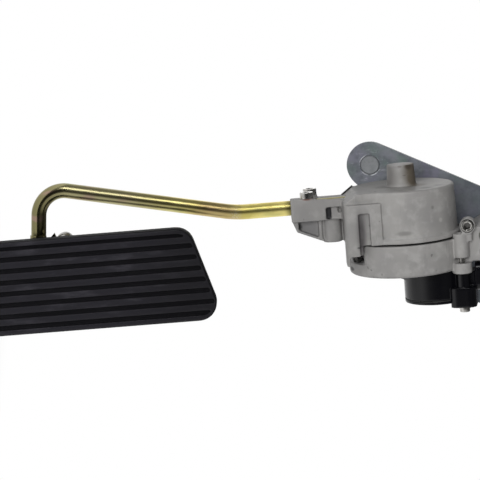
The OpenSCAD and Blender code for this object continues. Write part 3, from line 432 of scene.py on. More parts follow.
# place, reach in metres, strength and colour of each mark, and how it is stretched
STAINS = {
    "boss, right": (in_lever(-42, -5, 8.5), 0.012, 1.1, (0.10, 0.085, 0.065), (0.7, 1, 1)),
    "boss, left": (in_lever(-41, -3, -9.5), 0.012, 1.0, (0.13, 0.125, 0.12), (0.7, 1, 1)),
    "boss, rim": (in_lever(-47.5, -8, 5), 0.004, 1.1, (0.06, 0.05, 0.04)),
    "boss, nick": (in_lever(-48, -8.5, -1), 0.002, 0.6, (0.10, 0.09, 0.08)),
    "drum, upper edge": (in_lever(-33.5, -22, 14), 0.006, 0.7, (0.10, 0.098, 0.10)),
    "drum, top": (in_lever(-34, -14, 24), 0.005, 0.6, (0.11, 0.108, 0.11)),
    "drum, pit": (in_lever(-22, -30, 17), 0.0016, 0.6, (0.12, 0.115, 0.11)),
    "drum, pale spot": (in_lever(-13, -27, 22), 0.0022, 0.5, (0.40, 0.39, 0.37)),
    # painted shade: the floor of the opening in the housing's rim
    "rim slot, painted shade": (at_pivot(12.8, -24, -31), 0.006, 0.7, (0.015, 0.014, 0.014), (4.5, 0.5, 0.5)),
    # painted shade on the web below the rod, darkest at its end
    "web": (in_lever(-9, -4, -64), 0.011, 0.8, (0.15, 0.148, 0.15)),
    "web end, painted shade": (in_lever(-12, -4, -70.5), 0.004, 1.2, (0.03, 0.03, 0.03)),
    # painted shade inside the slot in the rod socket
    "socket slot, painted shade": (in_lever(-20.5, -6.5, -49.8), 0.0042, 1.1, (0.03, 0.03, 0.032), (0.5, 1, 1)),
    "clamp screw, rust": (in_lever(-31.5, -12, -63.3), 0.0045, 0.9, (0.12, 0.05, 0.035), (2.5, 0.5, 1)),
    "block, above the lip": (in_lever(-4.5, -29, -19), 0.004, 0.7, (0.07, 0.068, 0.066), (1.6, 1, 0.5)),
    "drum, above the lip": (in_lever(-7, -36, -2), 0.0035, 0.5, (0.09, 0.088, 0.085), (1.6, 1, 0.4)),
    "housing, scuff": (at_pivot(9, -30, 18), 0.0045, 0.5, (0.12, 0.118, 0.115), (1, 1, 0.6)),
    # painted shade: the notch in the housing's rim, nearly black
    "rim notch, painted shade": (at_pivot(17.9, -15, -34.9), 0.0045, 1.3, (0.012, 0.011, 0.011), (2.4, 0.7, 1)),
    # painted shade: a dark vertical slot on the front of the block
    "slot in the block, painted shade": (in_lever(-8, -30, -30.5), 0.0052, 0.9, (0.055, 0.05, 0.052), (0.2, 1, 1)),
}
MATERIALS = {}


def keep(slot, material):
    """Files a finish under the name of the CAD material slot that wears it."""
    MATERIALS[slot] = material
    print(slot, "has", len(material.node_tree.nodes), "nodes")


def cast_aluminium():
    """Raw casting: a warm grey with faint clouds, soft scuffs and a few pits."""
    finish = Finish("cast_aluminium", metallic=0.2)
    clouds = finish.noise(0.022, 3)
    patches = finish.noise(0.007, 4, 0.55)
    grain = finish.noise(0.0012, 2)
    pits = 1 - finish.noise(0.0040, 1).above(0.21, 0.28)
    scuffs = finish.noise(0.006, 5, 0.75, (0.22, 1, 1)).above(0.57, 0.72)
    pale = finish.mix(clouds.above(0.3, 0.7), (0.214, 0.209, 0.205), (0.264, 0.258, 0.249))
    mottled = finish.mix(patches.above(0.45, 0.72) * 0.6, pale, (0.33, 0.325, 0.315))
    scuffed = finish.mix(scuffs * 0.7, mottled, (0.19, 0.185, 0.182))
    colour = finish.mix(pits * 0.75, scuffed, (0.10, 0.096, 0.092))
    # darker towards the rod end
    rod_end_darkening = 1 - finish.height().above(DARKER_BELOW, LIGHTER_ABOVE)
    colour = finish.mix(rod_end_darkening * 0.33, colour, (0.10, 0.098, 0.097))
    # painted shade in the gap between drum and housing
    seam_shade = finish.along(finish.place, (1, 0, 0)).band(*SEAM_SHADE_ACROSS)
    seam_shade = seam_shade * finish.height().band(*SEAM_SHADE_ALONG)
    colour = finish.mix(seam_shade * 0.85, colour, (0.02, 0.02, 0.02))
    for centre, reach, strength, tint, *stretch in STAINS.values():
        mask = finish.near(centre, reach, *stretch) * (patches * 0.6 + 0.7) * strength
        colour = finish.mix(mask.clamped(), colour, tint)
    finish.bump(grain * 0.25 + patches * 0.6 - pits * 0.8 - scuffs * 0.25, 0.00009)
    return finish.set(colour, patches * 0.2 + 0.42)


keep("cast_alloy", cast_aluminium())

# %% [markdown]
# ## Clear zinc
# The plate and its studs are steel with a thin zinc coat, which a clear passivation turns
# blue grey. Its film varies in thickness, so it drifts to violet and green, with fine
# streaks from rolling. Round each pressed-in head the plate is rubbed darker and scratched,
# and a painted highlight makes a bright ring at the head's pressed edge. The head itself is
# dull, with painted shade at its edge, and painted shade darkens the plate higher up.
# Distances from the heads' axes place the ring and the edge.

# %% Zinc plate
# heights and reach in metres; the rings' radii in mm: start, full, fading and end
# painted shade: between these heights the plate darkens, where the housing shades it
PLATE_SHADE_HEIGHTS = (0.03, 0.10)
HEAD_RUB = 0.017
HEAD_HIGHLIGHT_RING, HEAD_EDGE_SHADE = (6.4, 6.8, 7.1, 7.7), (5.4, 6.2, 6.6, 6.8)


def zinc_plate():
    """Clear zinc over sheet steel: blue grey, with cloudy patches and fine streaks, painted shade higher up and a
    painted highlight ring round each head.
    """
    finish = Finish("zinc_plate", metallic=0.5)
    clouds = finish.noise(0.009, 5, 0.65)
    film = finish.noise(0.016, 3, 0.55)
    streaks = finish.noise(0.003, 4, 0.6, (1, 1, 0.12))
    pale = finish.mix(clouds.above(0.36, 0.62), (0.135, 0.147, 0.167), (0.215, 0.23, 0.25))
    tinted = finish.mix(film.above(0.48, 0.66) * 0.6, pale, (0.235, 0.22, 0.30))
    tinted = finish.mix((1 - film).above(0.5, 0.68) * 0.6, tinted, (0.165, 0.225, 0.20))
    colour = finish.mix(streaks.above(0.52, 0.8) * 0.35, tinted, (0.36, 0.37, 0.38))
    # painted shade: darker higher up on the plate
    colour = finish.mix(finish.height().above(*PLATE_SHADE_HEIGHTS) * 0.72, colour, (0.10, 0.11, 0.13))
    scratches = finish.noise(0.0022, 3, 0.8, (1, 1, 0.35)).above(0.56, 0.74)
    for place in STUDS:
        rubbed = finish.near(place, HEAD_RUB)
        # painted highlight: a bright ring at each head's pressed edge, where it catches light
        ring = finish.from_axis(place).band(*HEAD_HIGHLIGHT_RING) * clouds.above(0.44, 0.6)
        colour = finish.mix(rubbed * clouds.above(0.48, 0.6) * 0.5, colour, (0.10, 0.11, 0.135))
        colour = finish.mix(rubbed * scratches * 0.75, colour, (0.50, 0.51, 0.53))
        colour = finish.mix(ring, colour, (0.62, 0.64, 0.67))
    finish.bump(clouds * 0.5 + streaks * 0.3, 0.00006)
    return finish.set(colour, clouds * 0.25 + 0.28)


def stud_steel():
    """The same zinc on a pressed-in head, dull, with painted shade at the edge where it meets the plate."""
    finish = Finish("stud_steel", metallic=0.45)
    grain = finish.noise(0.003, 3)
    colour = finish.mix(grain.above(0.4, 0.7) * 0.5, (0.25, 0.26, 0.27), (0.17, 0.18, 0.19))
    for place in STUDS:
        # painted shade at the edge of each head
        edge = finish.from_axis(place).band(*HEAD_EDGE_SHADE)
        colour = finish.mix(edge * 0.6, colour, (0.07, 0.075, 0.085))
    finish.bump(grain, 0.00002)
    return finish.set(colour, grain * 0.12 + 0.3)


keep("zinc_plate", zinc_plate())
keep("stud_steel", stud_steel())

# %% [markdown]
# ## Yellow zinc
# The rod and its bracket are zinc plated and yellow passivated: gold that drifts to olive
# and, where the film is thick, to a rainbow. The lower run and the bend are duller, and
# darker with painted shade, and so is the part in the casting's channel. The kink has a
# bright spot where the bending tool crushed it. Bands along the height tell these stretches apart.

# %% Yellow zinc
# the heights, in metres, between which a stretch of the rod changes to the next
LOWER_RUN, BEND_AND_LEG = (-0.16, -0.09), (-0.205, -0.185)
UPPER_RUN, IN_CHANNEL = (-0.105, -0.085), (-0.052, -0.046)
BROWN_PLACE = in_lever(-ROD_UP - 2, -4, -KINK_OUT - 14)
CRUSH_PLACE = in_lever(-ROD_UP, -2, -KINK_OUT)


def yellow_zinc():
    """Yellow chromate over zinc: gold that drifts to olive, with a faint rainbow."""
    finish = Finish("yellow_zinc", metallic=1.0)
    drift = finish.noise(0.016, 4, 0.6)
    film = finish.noise(0.007, 1, 0.5, (1, 1, 0.3))
    height = finish.height()
    lower, bend = 1 - height.above(*LOWER_RUN), 1 - height.above(*BEND_AND_LEG)
    gold = finish.mix(drift.above(0.35, 0.65), (0.70, 0.60, 0.18), (0.92, 0.80, 0.29))
    # painted shade: darker colours for the lower run and for the bend and leg
    shaded_runs = finish.mix(lower * 0.8, gold, (0.36, 0.34, 0.22))
    shaded_runs = finish.mix(bend * 0.8, shaded_runs, (0.20, 0.18, 0.085))
    tinted = finish.mix(film.above(0.56, 0.72) * 0.55, shaded_runs, (0.45, 0.28, 0.25))
    colour = finish.mix((1 - film).above(0.58, 0.8) * 0.5, tinted, (0.30, 0.36, 0.17))
    brown = finish.near(BROWN_PLACE, 0.012, (1, 1, 0.5))
    colour = finish.mix(brown * 0.5, colour, (0.34, 0.19, 0.15))
    crushed = finish.noise(0.0012, 1, 0.5, (1, 1, 1.6)).above(0.4, 0.6)
    crushed = finish.near(CRUSH_PLACE, 0.006) * crushed
    colour = finish.mix(crushed * 0.7, colour, (0.75, 0.70, 0.50))
    # painted shade: darker where the rod lies in the casting's channel
    colour = finish.mix(height.above(*IN_CHANNEL) * 0.8, colour, (0.13, 0.12, 0.05))
    finish.bump(finish.noise(0.02, 1) + crushed * 0.8, 0.00008)
    upper = height.above(*UPPER_RUN)
    return finish.set(colour, (1 - bend) * 0.14 + upper * 0.08 + film * 0.04 + 0.15)


keep("yellow_zinc", yellow_zinc())

# %% [markdown]
# ## Steel and bronze
# Screws, pins, springs and bushes are turned or drawn metal. They differ in colour and
# gloss only, so one function serves all: two near tones mixed by a fine grain, which also
# makes the surface slightly uneven. A perfectly smooth metal would look like chrome.

# %% Steel and bronze
def bare_metal(name, colour, darker, roughness, grain_size=0.0015):
    """Bright turned or drawn metal with a slightly uneven surface."""
    finish = Finish(name, metallic=1.0)
    grain = finish.noise(grain_size, 3)
    finish.bump(grain, 0.00002)
    mixed = finish.mix(grain.above(0.4, 0.7) * 0.5, colour, darker)
    keep(name, finish.set(mixed, grain * 0.12 + roughness))


bare_metal("screw_steel", (0.50, 0.49, 0.47), (0.28, 0.26, 0.23), 0.2, 0.003)
bare_metal("spring_steel", (0.34, 0.34, 0.36), (0.24, 0.24, 0.26), 0.3)
bare_metal("bronze", (0.55, 0.36, 0.18), (0.42, 0.27, 0.13), 0.35)

# %% [markdown]
# ## Plastics
# The sensor's case is moulded black plastic. Its tool was spark eroded, so it has a fine
# grain. Inside are a nylon rotor and a board under green lacquer. A coat on the board's
# shader stands for the lacquer, which is cheaper than a second layer of mesh.

# %% Plastics
def black_plastic():
    """Moulded black plastic with a fine spark-eroded grain."""
    finish = Finish("black_plastic", specular=0.32)
    grain = finish.noise(0.0005, 2)
    clouds = finish.noise(0.01, 3)
    colour = finish.mix(clouds, (0.0011, 0.0011, 0.0018), (0.0026, 0.0026, 0.0036))
    finish.bump(grain * 0.6 + clouds * 0.5, 0.00003)
    return finish.set(colour, clouds * 0.08 + 0.17)


def white_nylon():
    """Natural nylon, slightly yellow."""
    finish = Finish("white_nylon")
    clouds = finish.noise(0.004, 3)
    finish.bump(clouds, 0.00003)
    return finish.set(finish.mix(clouds, (0.66, 0.63, 0.55), (0.76, 0.74, 0.67)), 0.42)


def green_board():
    """Circuit board under green lacquer, with a faint glass weave."""
    finish = Finish("circuit_board", coat=0.4)
    weave = finish.noise(0.001, 2, 0.5, (1, 0.3, 1))
    finish.bump(weave, 0.00002)
    return finish.set(finish.mix(weave, (0.02, 0.12, 0.05), (0.035, 0.18, 0.08)), 0.35)


keep("black_plastic", black_plastic())
keep("white_nylon", white_nylon())
keep("circuit_board", green_board())

# %% [markdown]
# ## Rubber
# The pad is moulded black rubber: matt, with a slight sheen and scuffed on its lands. Painted
# shade darkens it towards its upper end, and more painted shade makes the grooves nearly
# black. Their floor lies deeper than the lands, so the depth along the lever's own Y tells
# the two apart. A mask painted by hand would have to follow every groove.

# %% Rubber
# painted shade: the pad darkens between these heights towards its upper end
PAD_SHADE_SPAN = (PIVOT.z - 190 * MM, PIVOT.z - 130 * MM)
# along the lever's Y: where the lands end and where a groove's painted shade is full
GROOVE_DEPTH = (-20.9 * MM, -19.9 * MM)


def pad_rubber():
    """Moulded black rubber: matt, with a slight sheen and faint scuffs."""
    finish = Finish("pad_rubber", specular=0.24)
    scuffs = finish.noise(0.006, 5, 0.65, (1, 1, 0.2))
    grain = finish.noise(0.0008, 2)
    land = finish.mix(scuffs.above(0.48, 0.72), (0.0105, 0.01, 0.013), (0.024, 0.0232, 0.028))
    # painted shade towards the pad's upper end
    shade_to_top = finish.height().above(*PAD_SHADE_SPAN)
    land = finish.mix(shade_to_top * 0.7, land, (0.0055, 0.0053, 0.0064))
    depth = finish.along(finish.place, LEVER_Y) - PIVOT.dot(LEVER_Y)
    groove = depth.above(*GROOVE_DEPTH)
    # painted shade: the grooves are nearly black
    colour = finish.mix(groove * 0.85, land, (0.0015, 0.0015, 0.002))
    finish.bump(grain * 0.5 + scuffs * 0.4, 0.00005)
    return finish.set(colour, scuffs * 0.16 + groove * 0.25 + 0.4)


def soft_rubber():
    """Dark gasket rubber."""
    finish = Finish("gasket_rubber", specular=0.3)
    grain = finish.noise(0.0012, 3)
    finish.bump(grain, 0.00004)
    return finish.set(finish.mix(grain, (0.012, 0.012, 0.012), (0.03, 0.03, 0.03)), 0.7)


keep("pad_rubber", pad_rubber())
keep("gasket_rubber", soft_rubber())

# %% [markdown]
# ## Finishes on the solids
# Each solid wears the finish of its material slot. Those that no finished piece replaces,
# such as clips, bushes and the sensor's inner parts, are shown as they are, because their
# edges are too small or too well hidden for more.

# %% Finishes on the solids
SLOTS = {part["node"]: part["material_slot"] for part in frame["record"]["subparts"]}
for node, solid in frame["nodes"].items():
    solid.data.materials.clear()
    solid.data.materials.append(MATERIALS[SLOTS[node]])
print(len(MATERIALS), "finishes for", len(SLOTS), "nodes")

# %% [markdown]
# ## Finished pieces
# A finished piece stands for a solid: it wears the solid's material and rides its body.
# It starts as a copy of the solid's mesh or as new geometry, and modifiers shape it. They
# could stay live, but a plain mesh looks the same in every tool, so they are applied.

# %% Finished pieces
WELD = 0.002 * MM
BODIES = frame["record"]["behaviour"]["bodies"]
print("bodies:", {body: len(members) for body, members in BODIES.items()})


def body_of(node):
    return next(body for body, members in BODIES.items() if node in members)


def merged_copy(node, name):
    """A copy of a solid's mesh whose loose triangles are joined."""
    mesh = frame["nodes"][node].data.copy()
    mesh.name = name
    shape = bmesh.new()
    shape.from_mesh(mesh)
    bmesh.ops.remove_doubles(shape, verts=shape.verts, dist=WELD)
    for face in shape.faces:
        face.smooth = True
    shape.to_mesh(mesh)
    shape.free()
    if "custom_normal" in mesh.attributes:
        mesh.attributes.remove(mesh.attributes["custom_normal"])
    return new_object(name, mesh)


def mesh_from(shape, name):
    """Turns a bmesh of new faces into a mesh, with all its faces looking outwards."""
    bmesh.ops.recalc_face_normals(shape, faces=shape.faces)
    mesh = bpy.data.meshes.new(name)
    shape.to_mesh(mesh)
    shape.free()
    return mesh


def finished(piece):
    """Turns the evaluated piece into a plain mesh and removes its modifiers."""
    graph = bpy.context.evaluated_depsgraph_get()
    mesh = bpy.data.meshes.new_from_object(piece.evaluated_get(graph))
    piece.modifiers.clear()
    piece.data = mesh


def triangles_of(piece):
    return sum(len(face.vertices) - 2 for face in piece.data.polygons)


def dress(piece, node, winds=None):
    """Lets a finished piece stand for a node, with the node's body and material.

    A spring is given winds instead: it keeps its place and is attached to no body.
    winds is (other body, first end, last end); its parts are not used, only whether it is given.
    """
    slot = SLOTS[node]
    piece.data.materials.clear()
    piece.data.materials.append(MATERIALS[slot])
    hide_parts(node)
    if winds:
        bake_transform(piece)
    else:
        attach(piece, body_of(node))
    print(piece.name, triangles_of(piece), "triangles")


# %% [markdown]
# ## Castings and mouldings
# A cast edge is never sharp: the tool has a radius there, and so has every inner corner.
# A bevel on each edge of such a shape is fragile where many edges meet. A level-set skin
# over the solid, made by a voxel remesh and smoothed a little, rounds them all alike.
# Two small slots in the rod socket and a larger one in the housing's rim are cut first, so
# that the skin rounds their edges too.

# %% Skins
TRIANGLE_BUDGET = 190000
SOFTENING = 0.5


def cut_slots(piece, slots):
    """Takes slots out of a piece, each from one x to another with an outline in y and z.

    The numbers are in mm in the hanging lever's frame.
    """
    shape = bmesh.new()
    for start, end, outline in slots:
        near, far = ([shape.verts.new(in_lever(x, y, z)) for y, z in outline] for x in (start, end))
        shape.faces.new(near)
        shape.faces.new(far)
        for i in range(len(outline)):
            shape.faces.new((near[i - 1], near[i], far[i], far[i - 1]))
    cutter = new_object("slots", mesh_from(shape, "slots"))
    hole = piece.modifiers.new("hole", "BOOLEAN")
    hole.object = cutter
    finished(piece)
    bpy.data.objects.remove(cutter)


def skin(node, voxel, rounds, slots=()):
    """A remeshed and smoothed copy of a node, with all its edges softened."""
    piece = merged_copy(node, node + "_skin")
    if slots:
        cut_slots(piece, slots)
    remesh = piece.modifiers.new("skin", "REMESH")
    remesh.mode = "VOXEL"
    remesh.voxel_size = voxel
    remesh.use_smooth_shade = True
    smooth = piece.modifiers.new("soften", "SMOOTH")
    smooth.factor = SOFTENING
    smooth.iterations = rounds
    finished(piece)
    triangles = 2 * len(piece.data.polygons)
    if triangles > TRIANGLE_BUDGET:
        thin = piece.modifiers.new("thin", "DECIMATE")
        thin.ratio = TRIANGLE_BUDGET / triangles
        finished(piece)
    dress(piece, node)
    return piece


SOCKET_SLOTS = [
    (-24.5, -16.4, [(-10, -51.4), (-6, -51.4), (-6, -48.0), (-10, -48.0)]),
    (-24.5, -20.2, [(-10, -43.4), (-6.5, -43.4), (-6.5, -41.1), (-10, -41.1)]),
]
RIM_SLOT = [
    (12, 19, [
        (8, -29.4), (8, -35), (-9.2, -35), (-11.5, -34.3), (-14, -33.4),
        (-15.5, -32.5), (-17.2, -31), (-18.3, -29.4),
    ]),
]
skin("lever_casting", voxel=0.62 * MM, rounds=2, slots=SOCKET_SLOTS)
skin("housing", voxel=0.66 * MM, rounds=2, slots=RIM_SLOT)
skin("sensor_case", voxel=0.5 * MM, rounds=1)
skin("sensor_cover", voxel=0.4 * MM, rounds=8)
pad = skin("pad_rubber", voxel=0.6 * MM, rounds=2)

# %% [markdown]
# ## Grooves of the pad
# The pad's grooves run to a thin rim at its ends, a little farther than in the solid. They
# could be cut again, but moving the vertices at their ends outwards keeps the mesh closed
# and its edges soft. A vertex moves by how deep it lies inside the outline: not at all at
# the rim, most at the groove's end, and less and less farther in.

# %% Grooves of the pad
# the pad's outline and the radius of its corners, in mm in the hanging lever's frame
PAD_LEFT, PAD_RIGHT, PAD_FAR = -19.6, 42.9, 309.0
PAD_NEAR, PAD_SLANT, PAD_CORNER = 142.4, 18.8, 12.0
GROOVED_SIDE = -18
# distances inside the outline, in mm
RIM_WIDTH, GROOVE_END, UNMOVED = 0.8, 3.0, 11.5
GROOVE_SHIFT = 1.7


def pad_core():
    """Corners of the pad's outline, moved inwards by its corner radius."""
    left, right = PAD_LEFT + PAD_CORNER, PAD_RIGHT - PAD_CORNER
    wide = PAD_RIGHT - PAD_LEFT
    drop = PAD_CORNER * math.hypot(PAD_SLANT, wide) / wide + PAD_NEAR
    tops = [(x - PAD_LEFT) * PAD_SLANT / wide - drop for x in (left, right)]
    low = PAD_CORNER - PAD_FAR
    return [Vector(p) for p in ((left, low), (right, low), (right, tops[1]), (left, tops[0]))]


def out_of_core(point, corners):
    """The vector from the nearest place of the core to a point; zero inside it."""
    nearest = []
    inside = True
    for a, b in zip(corners, corners[1:] + corners[:1]):
        side = b - a
        part = max(0.0, min(1.0, (point - a).dot(side) / side.dot(side)))
        nearest.append(point - a - side * part)
        inside = inside and side.x * (point.y - a.y) - side.y * (point.x - a.x) >= 0
    return Vector((0, 0)) if inside else min(nearest, key=lambda way: way.length)


def shift_at(inward):
    """The share of the shift that a vertex gets at a distance inside the outline."""
    if inward < GROOVE_END:
        return (inward - RIM_WIDTH) / (GROOVE_END - RIM_WIDTH)
    return max(0.0, (UNMOVED - inward) / (UNMOVED - GROOVE_END))


def lengthen_grooves(mesh):
    """Moves the ends of the grooves outwards, so that only a thin rim is left there."""
    corners = pad_core()
    to_lever = Matrix.Rotation(REST_TILT, 3, "X")
    along = to_lever.inverted() @ Vector((0, 0, 1))
    moved = 0
    for vertex in mesh.vertices:
        place = to_lever @ (vertex.co - PIVOT) / MM
        if place.y > GROOVED_SIDE:
            continue
        way = out_of_core(Vector((place.x, place.z)), corners)
        inward = PAD_CORNER - way.length
        if way.length == 0 or inward < RIM_WIDTH:
            continue
        vertex.co += along * (GROOVE_SHIFT * MM * shift_at(inward) * way.y / way.length)
        moved += 1
    print(moved, "vertices of the pad moved by up to", GROOVE_SHIFT, "mm")


lengthen_grooves(pad.data)

# %% [markdown]
# ## Sheet metal
# The plate, the hinge bracket and the plate in the pad are stamped sheet. The punch leaves
# a small round on every edge, which shows as a thin line of light. The solids' flat faces
# are first joined into single polygons, so that a bevel finds only the real edges.

# %% Bevelled copies
EDGE_ANGLE, FLAT_ANGLE = math.radians(35), math.radians(1)


def bevelled(node, width):
    """A merged copy of a node whose sharp edges get a small round."""
    piece = merged_copy(node, node + "_edged")
    flat = piece.modifiers.new("flat", "DECIMATE")
    flat.decimate_type = "DISSOLVE"
    flat.angle_limit = FLAT_ANGLE
    edge = piece.modifiers.new("edge", "BEVEL")
    edge.width = width
    edge.segments = 2
    edge.limit_method = "ANGLE"
    edge.angle_limit = EDGE_ANGLE
    edge.harden_normals = True
    finished(piece)
    dress(piece, node)


for node, width in {"mounting_plate": 0.35, "pad_bracket": 0.3, "pad_plate": 0.3}.items():
    bevelled(node, width * MM)

# %% [markdown]
# ## Wire and rod
# The rod and the springs are round wire bent along a path. One tree of Geometry Nodes
# sweeps a circle along any path of edges. A curve object's own bevel would do too, but the
# tree has its radius, sides and material as named inputs, so each wire is one call.

# %% Wire tree
def new_tree(name, **inputs):
    """A Geometry Nodes tree: geometry in and out, a material, and inputs given by type."""
    tree = bpy.data.node_groups.new(name, "GeometryNodeTree")
    for label, kind in {"Geometry": "Geometry", **inputs, "Material": "Material"}.items():
        tree.interface.new_socket(label, in_out="INPUT", socket_type="NodeSocket" + kind)
    tree.interface.new_socket("Geometry", in_out="OUTPUT", socket_type="NodeSocketGeometry")
    return tree, tree.nodes.new("NodeGroupInput"), tree.nodes.new("NodeGroupOutput")


def step(tree, kind, values=None, **links):
    """Adds a Geometry node with plain values and with links, each a node and its output."""
    made = tree.nodes.new("GeometryNode" + kind)
    for label, value in (values or {}).items():
        made.inputs[label].default_value = value
    for label, (source, output) in links.items():
        tree.links.new(source.outputs[output], made.inputs[label.replace("_", " ")])
    return made


def end_tree(tree, last, output, start, end):
    """The end of each tree: real geometry, with the material of the tree's input."""
    real = step(tree, "RealizeInstances", Geometry=(last, output))
    paint = step(tree, "SetMaterial", Geometry=(real, "Geometry"), Material=(start, "Material"))
    tree.links.new(paint.outputs["Geometry"], end.inputs["Geometry"])
    print("tree", tree.name, "has", len(tree.nodes), "nodes")


def wire_tree():
    """Geometry Nodes: a path of edges in, a closed round wire out."""
    tree, start, end = new_tree("round_wire", Radius="Float", Sides="Int")
    path = step(tree, "MeshToCurve", Mesh=(start, "Geometry"))
    circle = step(
        tree, "CurvePrimitiveCircle", Resolution=(start, "Sides"), Radius=(start, "Radius"))
    sweep = step(
        tree, "CurveToMesh", {"Fill Caps": True},
        Curve=(path, "Curve"), Profile_Curve=(circle, "Curve"))
    smooth = step(tree, "SetShadeSmooth", Geometry=(sweep, "Mesh"))
    end_tree(tree, smooth, "Geometry", start, end)
    return tree


def set_inputs(modifier, values):
    """Sets a Geometry Nodes modifier's inputs by the identifiers of their sockets."""
    for item in modifier.node_group.interface.items_tree:
        if item.item_type == "SOCKET" and item.in_out == "INPUT" and item.name in values:
            modifier[item.identifier] = values[item.name]


WIRE = wire_tree()


def wire(node, path, radius, sides, winds=None):
    """A round wire along a path, in the place of a node."""
    mesh = bpy.data.meshes.new(node + "_path")
    mesh.from_pydata([tuple(p) for p in path], [(i, i + 1) for i in range(len(path) - 1)], [])
    piece = new_object(node + "_wire", mesh)
    sweep = piece.modifiers.new("sweep", "NODES")
    sweep.node_group = WIRE
    set_inputs(sweep, {"Radius": radius, "Sides": sides, "Material": MATERIALS[SLOTS[node]]})
    finished(piece)
    dress(piece, node, winds)


# %% [markdown]
# ## Path of the rod
# A bending machine leaves straight runs with a round arc between them: here a slight kink
# and a tight bend. So the path is written as the corners where the runs would meet, and
# each corner is rounded. A spline would be shorter to write, but its runs would bulge.

# %% Rod
ROD_SIDES, WIRE_SIDES = 64, 16
KINK_STEPS, BEND_STEPS = 10, 30


def corner_arc(before, corner, after, radius, count):
    """Points of the arc that rounds a corner between its neighbours."""
    u, v = (before - corner).normalized(), (after - corner).normalized()
    half = u.angle(v) / 2
    centre = corner + (u + v).normalized() * radius / math.sin(half)
    first = corner + u * radius / math.tan(half) - centre
    last = corner + v * radius / math.tan(half) - centre
    turn = first.angle_signed(last)
    return [centre + Matrix.Rotation(-turn * i / count, 2) @ first for i in range(count + 1)]


def rod_path():
    """The rod's middle line: out of the socket, a slight kink, a bend, and the leg."""
    start = Vector((-ROD_UP, -ROD_START))
    kink = Vector((-ROD_UP, -KINK_OUT))
    corner = kink - (CORNER_OUT - KINK_OUT) * Vector((math.tan(KINK_ANGLE), 1))
    way = Vector((math.cos(LEG_LEAN), -math.sin(LEG_LEAN)))
    tip = corner + way * (LEG_END - corner.x) / way.x
    bends = corner_arc(start, kink, corner, KINK_R, KINK_STEPS)
    bends += corner_arc(kink, corner, tip, BEND_R, BEND_STEPS)
    return [in_lever(p.x, 0, p.y) for p in [start, *bends, tip]]


wire("pedal_rod", rod_path(), ROD_R * MM, ROD_SIDES)

# %% [markdown]
# ## Springs
# The two return springs lie one inside the other in the drum, each with one leg in the
# housing and one in the lever. The pad's spring is wound on the hinge pin. The springs
# keep the place where they are built and are attached to no body.

# %% Return springs
COIL_FIRST, COIL_LAST = 13.8, -25.4
LEG_FIRST, LEG_LAST = 18.8, -31.8
RETURN_TURNS, RETURN_STEPS, RETURN_WIRE_R = 7, 48, 1.5
ELBOW_R, ELBOW_STEPS = 3.0, 10


def return_spring(node, radius):
    """A return spring, wound round the pivot axis from housing to drum, with bent legs."""
    around = 2 * math.pi * radius * RETURN_TURNS

    def on_coil(x, gone):
        a = math.pi / 2 + gone / radius
        return at_pivot(x, radius * math.cos(a), radius * math.sin(a))

    path = [on_coil(LEG_FIRST, 0)]
    elbow = [math.pi / 2 * i / ELBOW_STEPS for i in range(ELBOW_STEPS)]
    for a in elbow:
        path.append(on_coil(COIL_FIRST + ELBOW_R * (1 - math.sin(a)), ELBOW_R * (1 - math.cos(a))))
    count = RETURN_TURNS * RETURN_STEPS
    for i in range(count + 1):
        x = COIL_FIRST + (COIL_LAST - COIL_FIRST) * i / count
        path.append(on_coil(x, ELBOW_R + around * i / count))
    for a in elbow[1:]:
        gone = ELBOW_R + around + ELBOW_R * math.sin(a)
        path.append(on_coil(COIL_LAST - ELBOW_R * (1 - math.cos(a)), gone))
    path.append(on_coil(LEG_LAST, 2 * ELBOW_R + around))
    ends = (at_pivot(COIL_FIRST, 0, 0), at_pivot(COIL_LAST, 0, 0))
    wire(node, path, RETURN_WIRE_R * MM, WIRE_SIDES, winds=("lever", *ends))


return_spring("return_spring_inner", radius=14.2)
return_spring("return_spring_outer", radius=20.6)

# %% Spring of the pad
PAD_SPRING_R, PAD_SPRING_WIRE_R, PAD_SPRING_MIDDLE = 7.1, 0.7, 5
PAD_SPRING_TURNS, PAD_SPRING_PITCH, PAD_SPRING_STEPS = 6.5, 1.96, 40
BRACKET_LEG, PAD_LEG, LEG_BASE = 16, 7, 1


def pad_spring():
    """The pad's spring: one leg on the bracket, coils on the pin, one leg on the pad."""
    radius = PAD_SPRING_R
    half = PAD_SPRING_TURNS * PAD_SPRING_PITCH / 2
    start, end = PAD_SPRING_MIDDLE - half, PAD_SPRING_MIDDLE + half
    path = [at_hinge(start, -radius, BRACKET_LEG), at_hinge(start, -radius, LEG_BASE)]
    for i in range(int(PAD_SPRING_TURNS * PAD_SPRING_STEPS) + 1):
        a = math.pi + 2 * math.pi * i / PAD_SPRING_STEPS
        x = start + PAD_SPRING_PITCH * i / PAD_SPRING_STEPS
        path.append(at_hinge(x, radius * math.cos(a), radius * math.sin(a)))
    path += [at_hinge(end, radius, LEG_BASE), at_hinge(end, radius, PAD_LEG)]
    ends = (at_hinge(start, 0, 0), at_hinge(end, 0, 0))
    wire("pad_spring", path, PAD_SPRING_WIRE_R * MM, WIRE_SIDES, winds=("lever", *ends))


pad_spring()

# %% [markdown]
# ## Screws, studs and pin
# These are turned pieces: a profile spun round an axis. Each ring of the profile has a
# distance along the axis and a radius, and a ring may be a hexagon, which makes the recess
# for the key with the same function.

# %% Lathe
LATHE_SIDES = 48
SHARP_ANGLE = math.radians(32)
X, Y = Vector((1, 0, 0)), Vector((0, 1, 0))
print("a turned face is", 360 / LATHE_SIDES, "degrees wide")


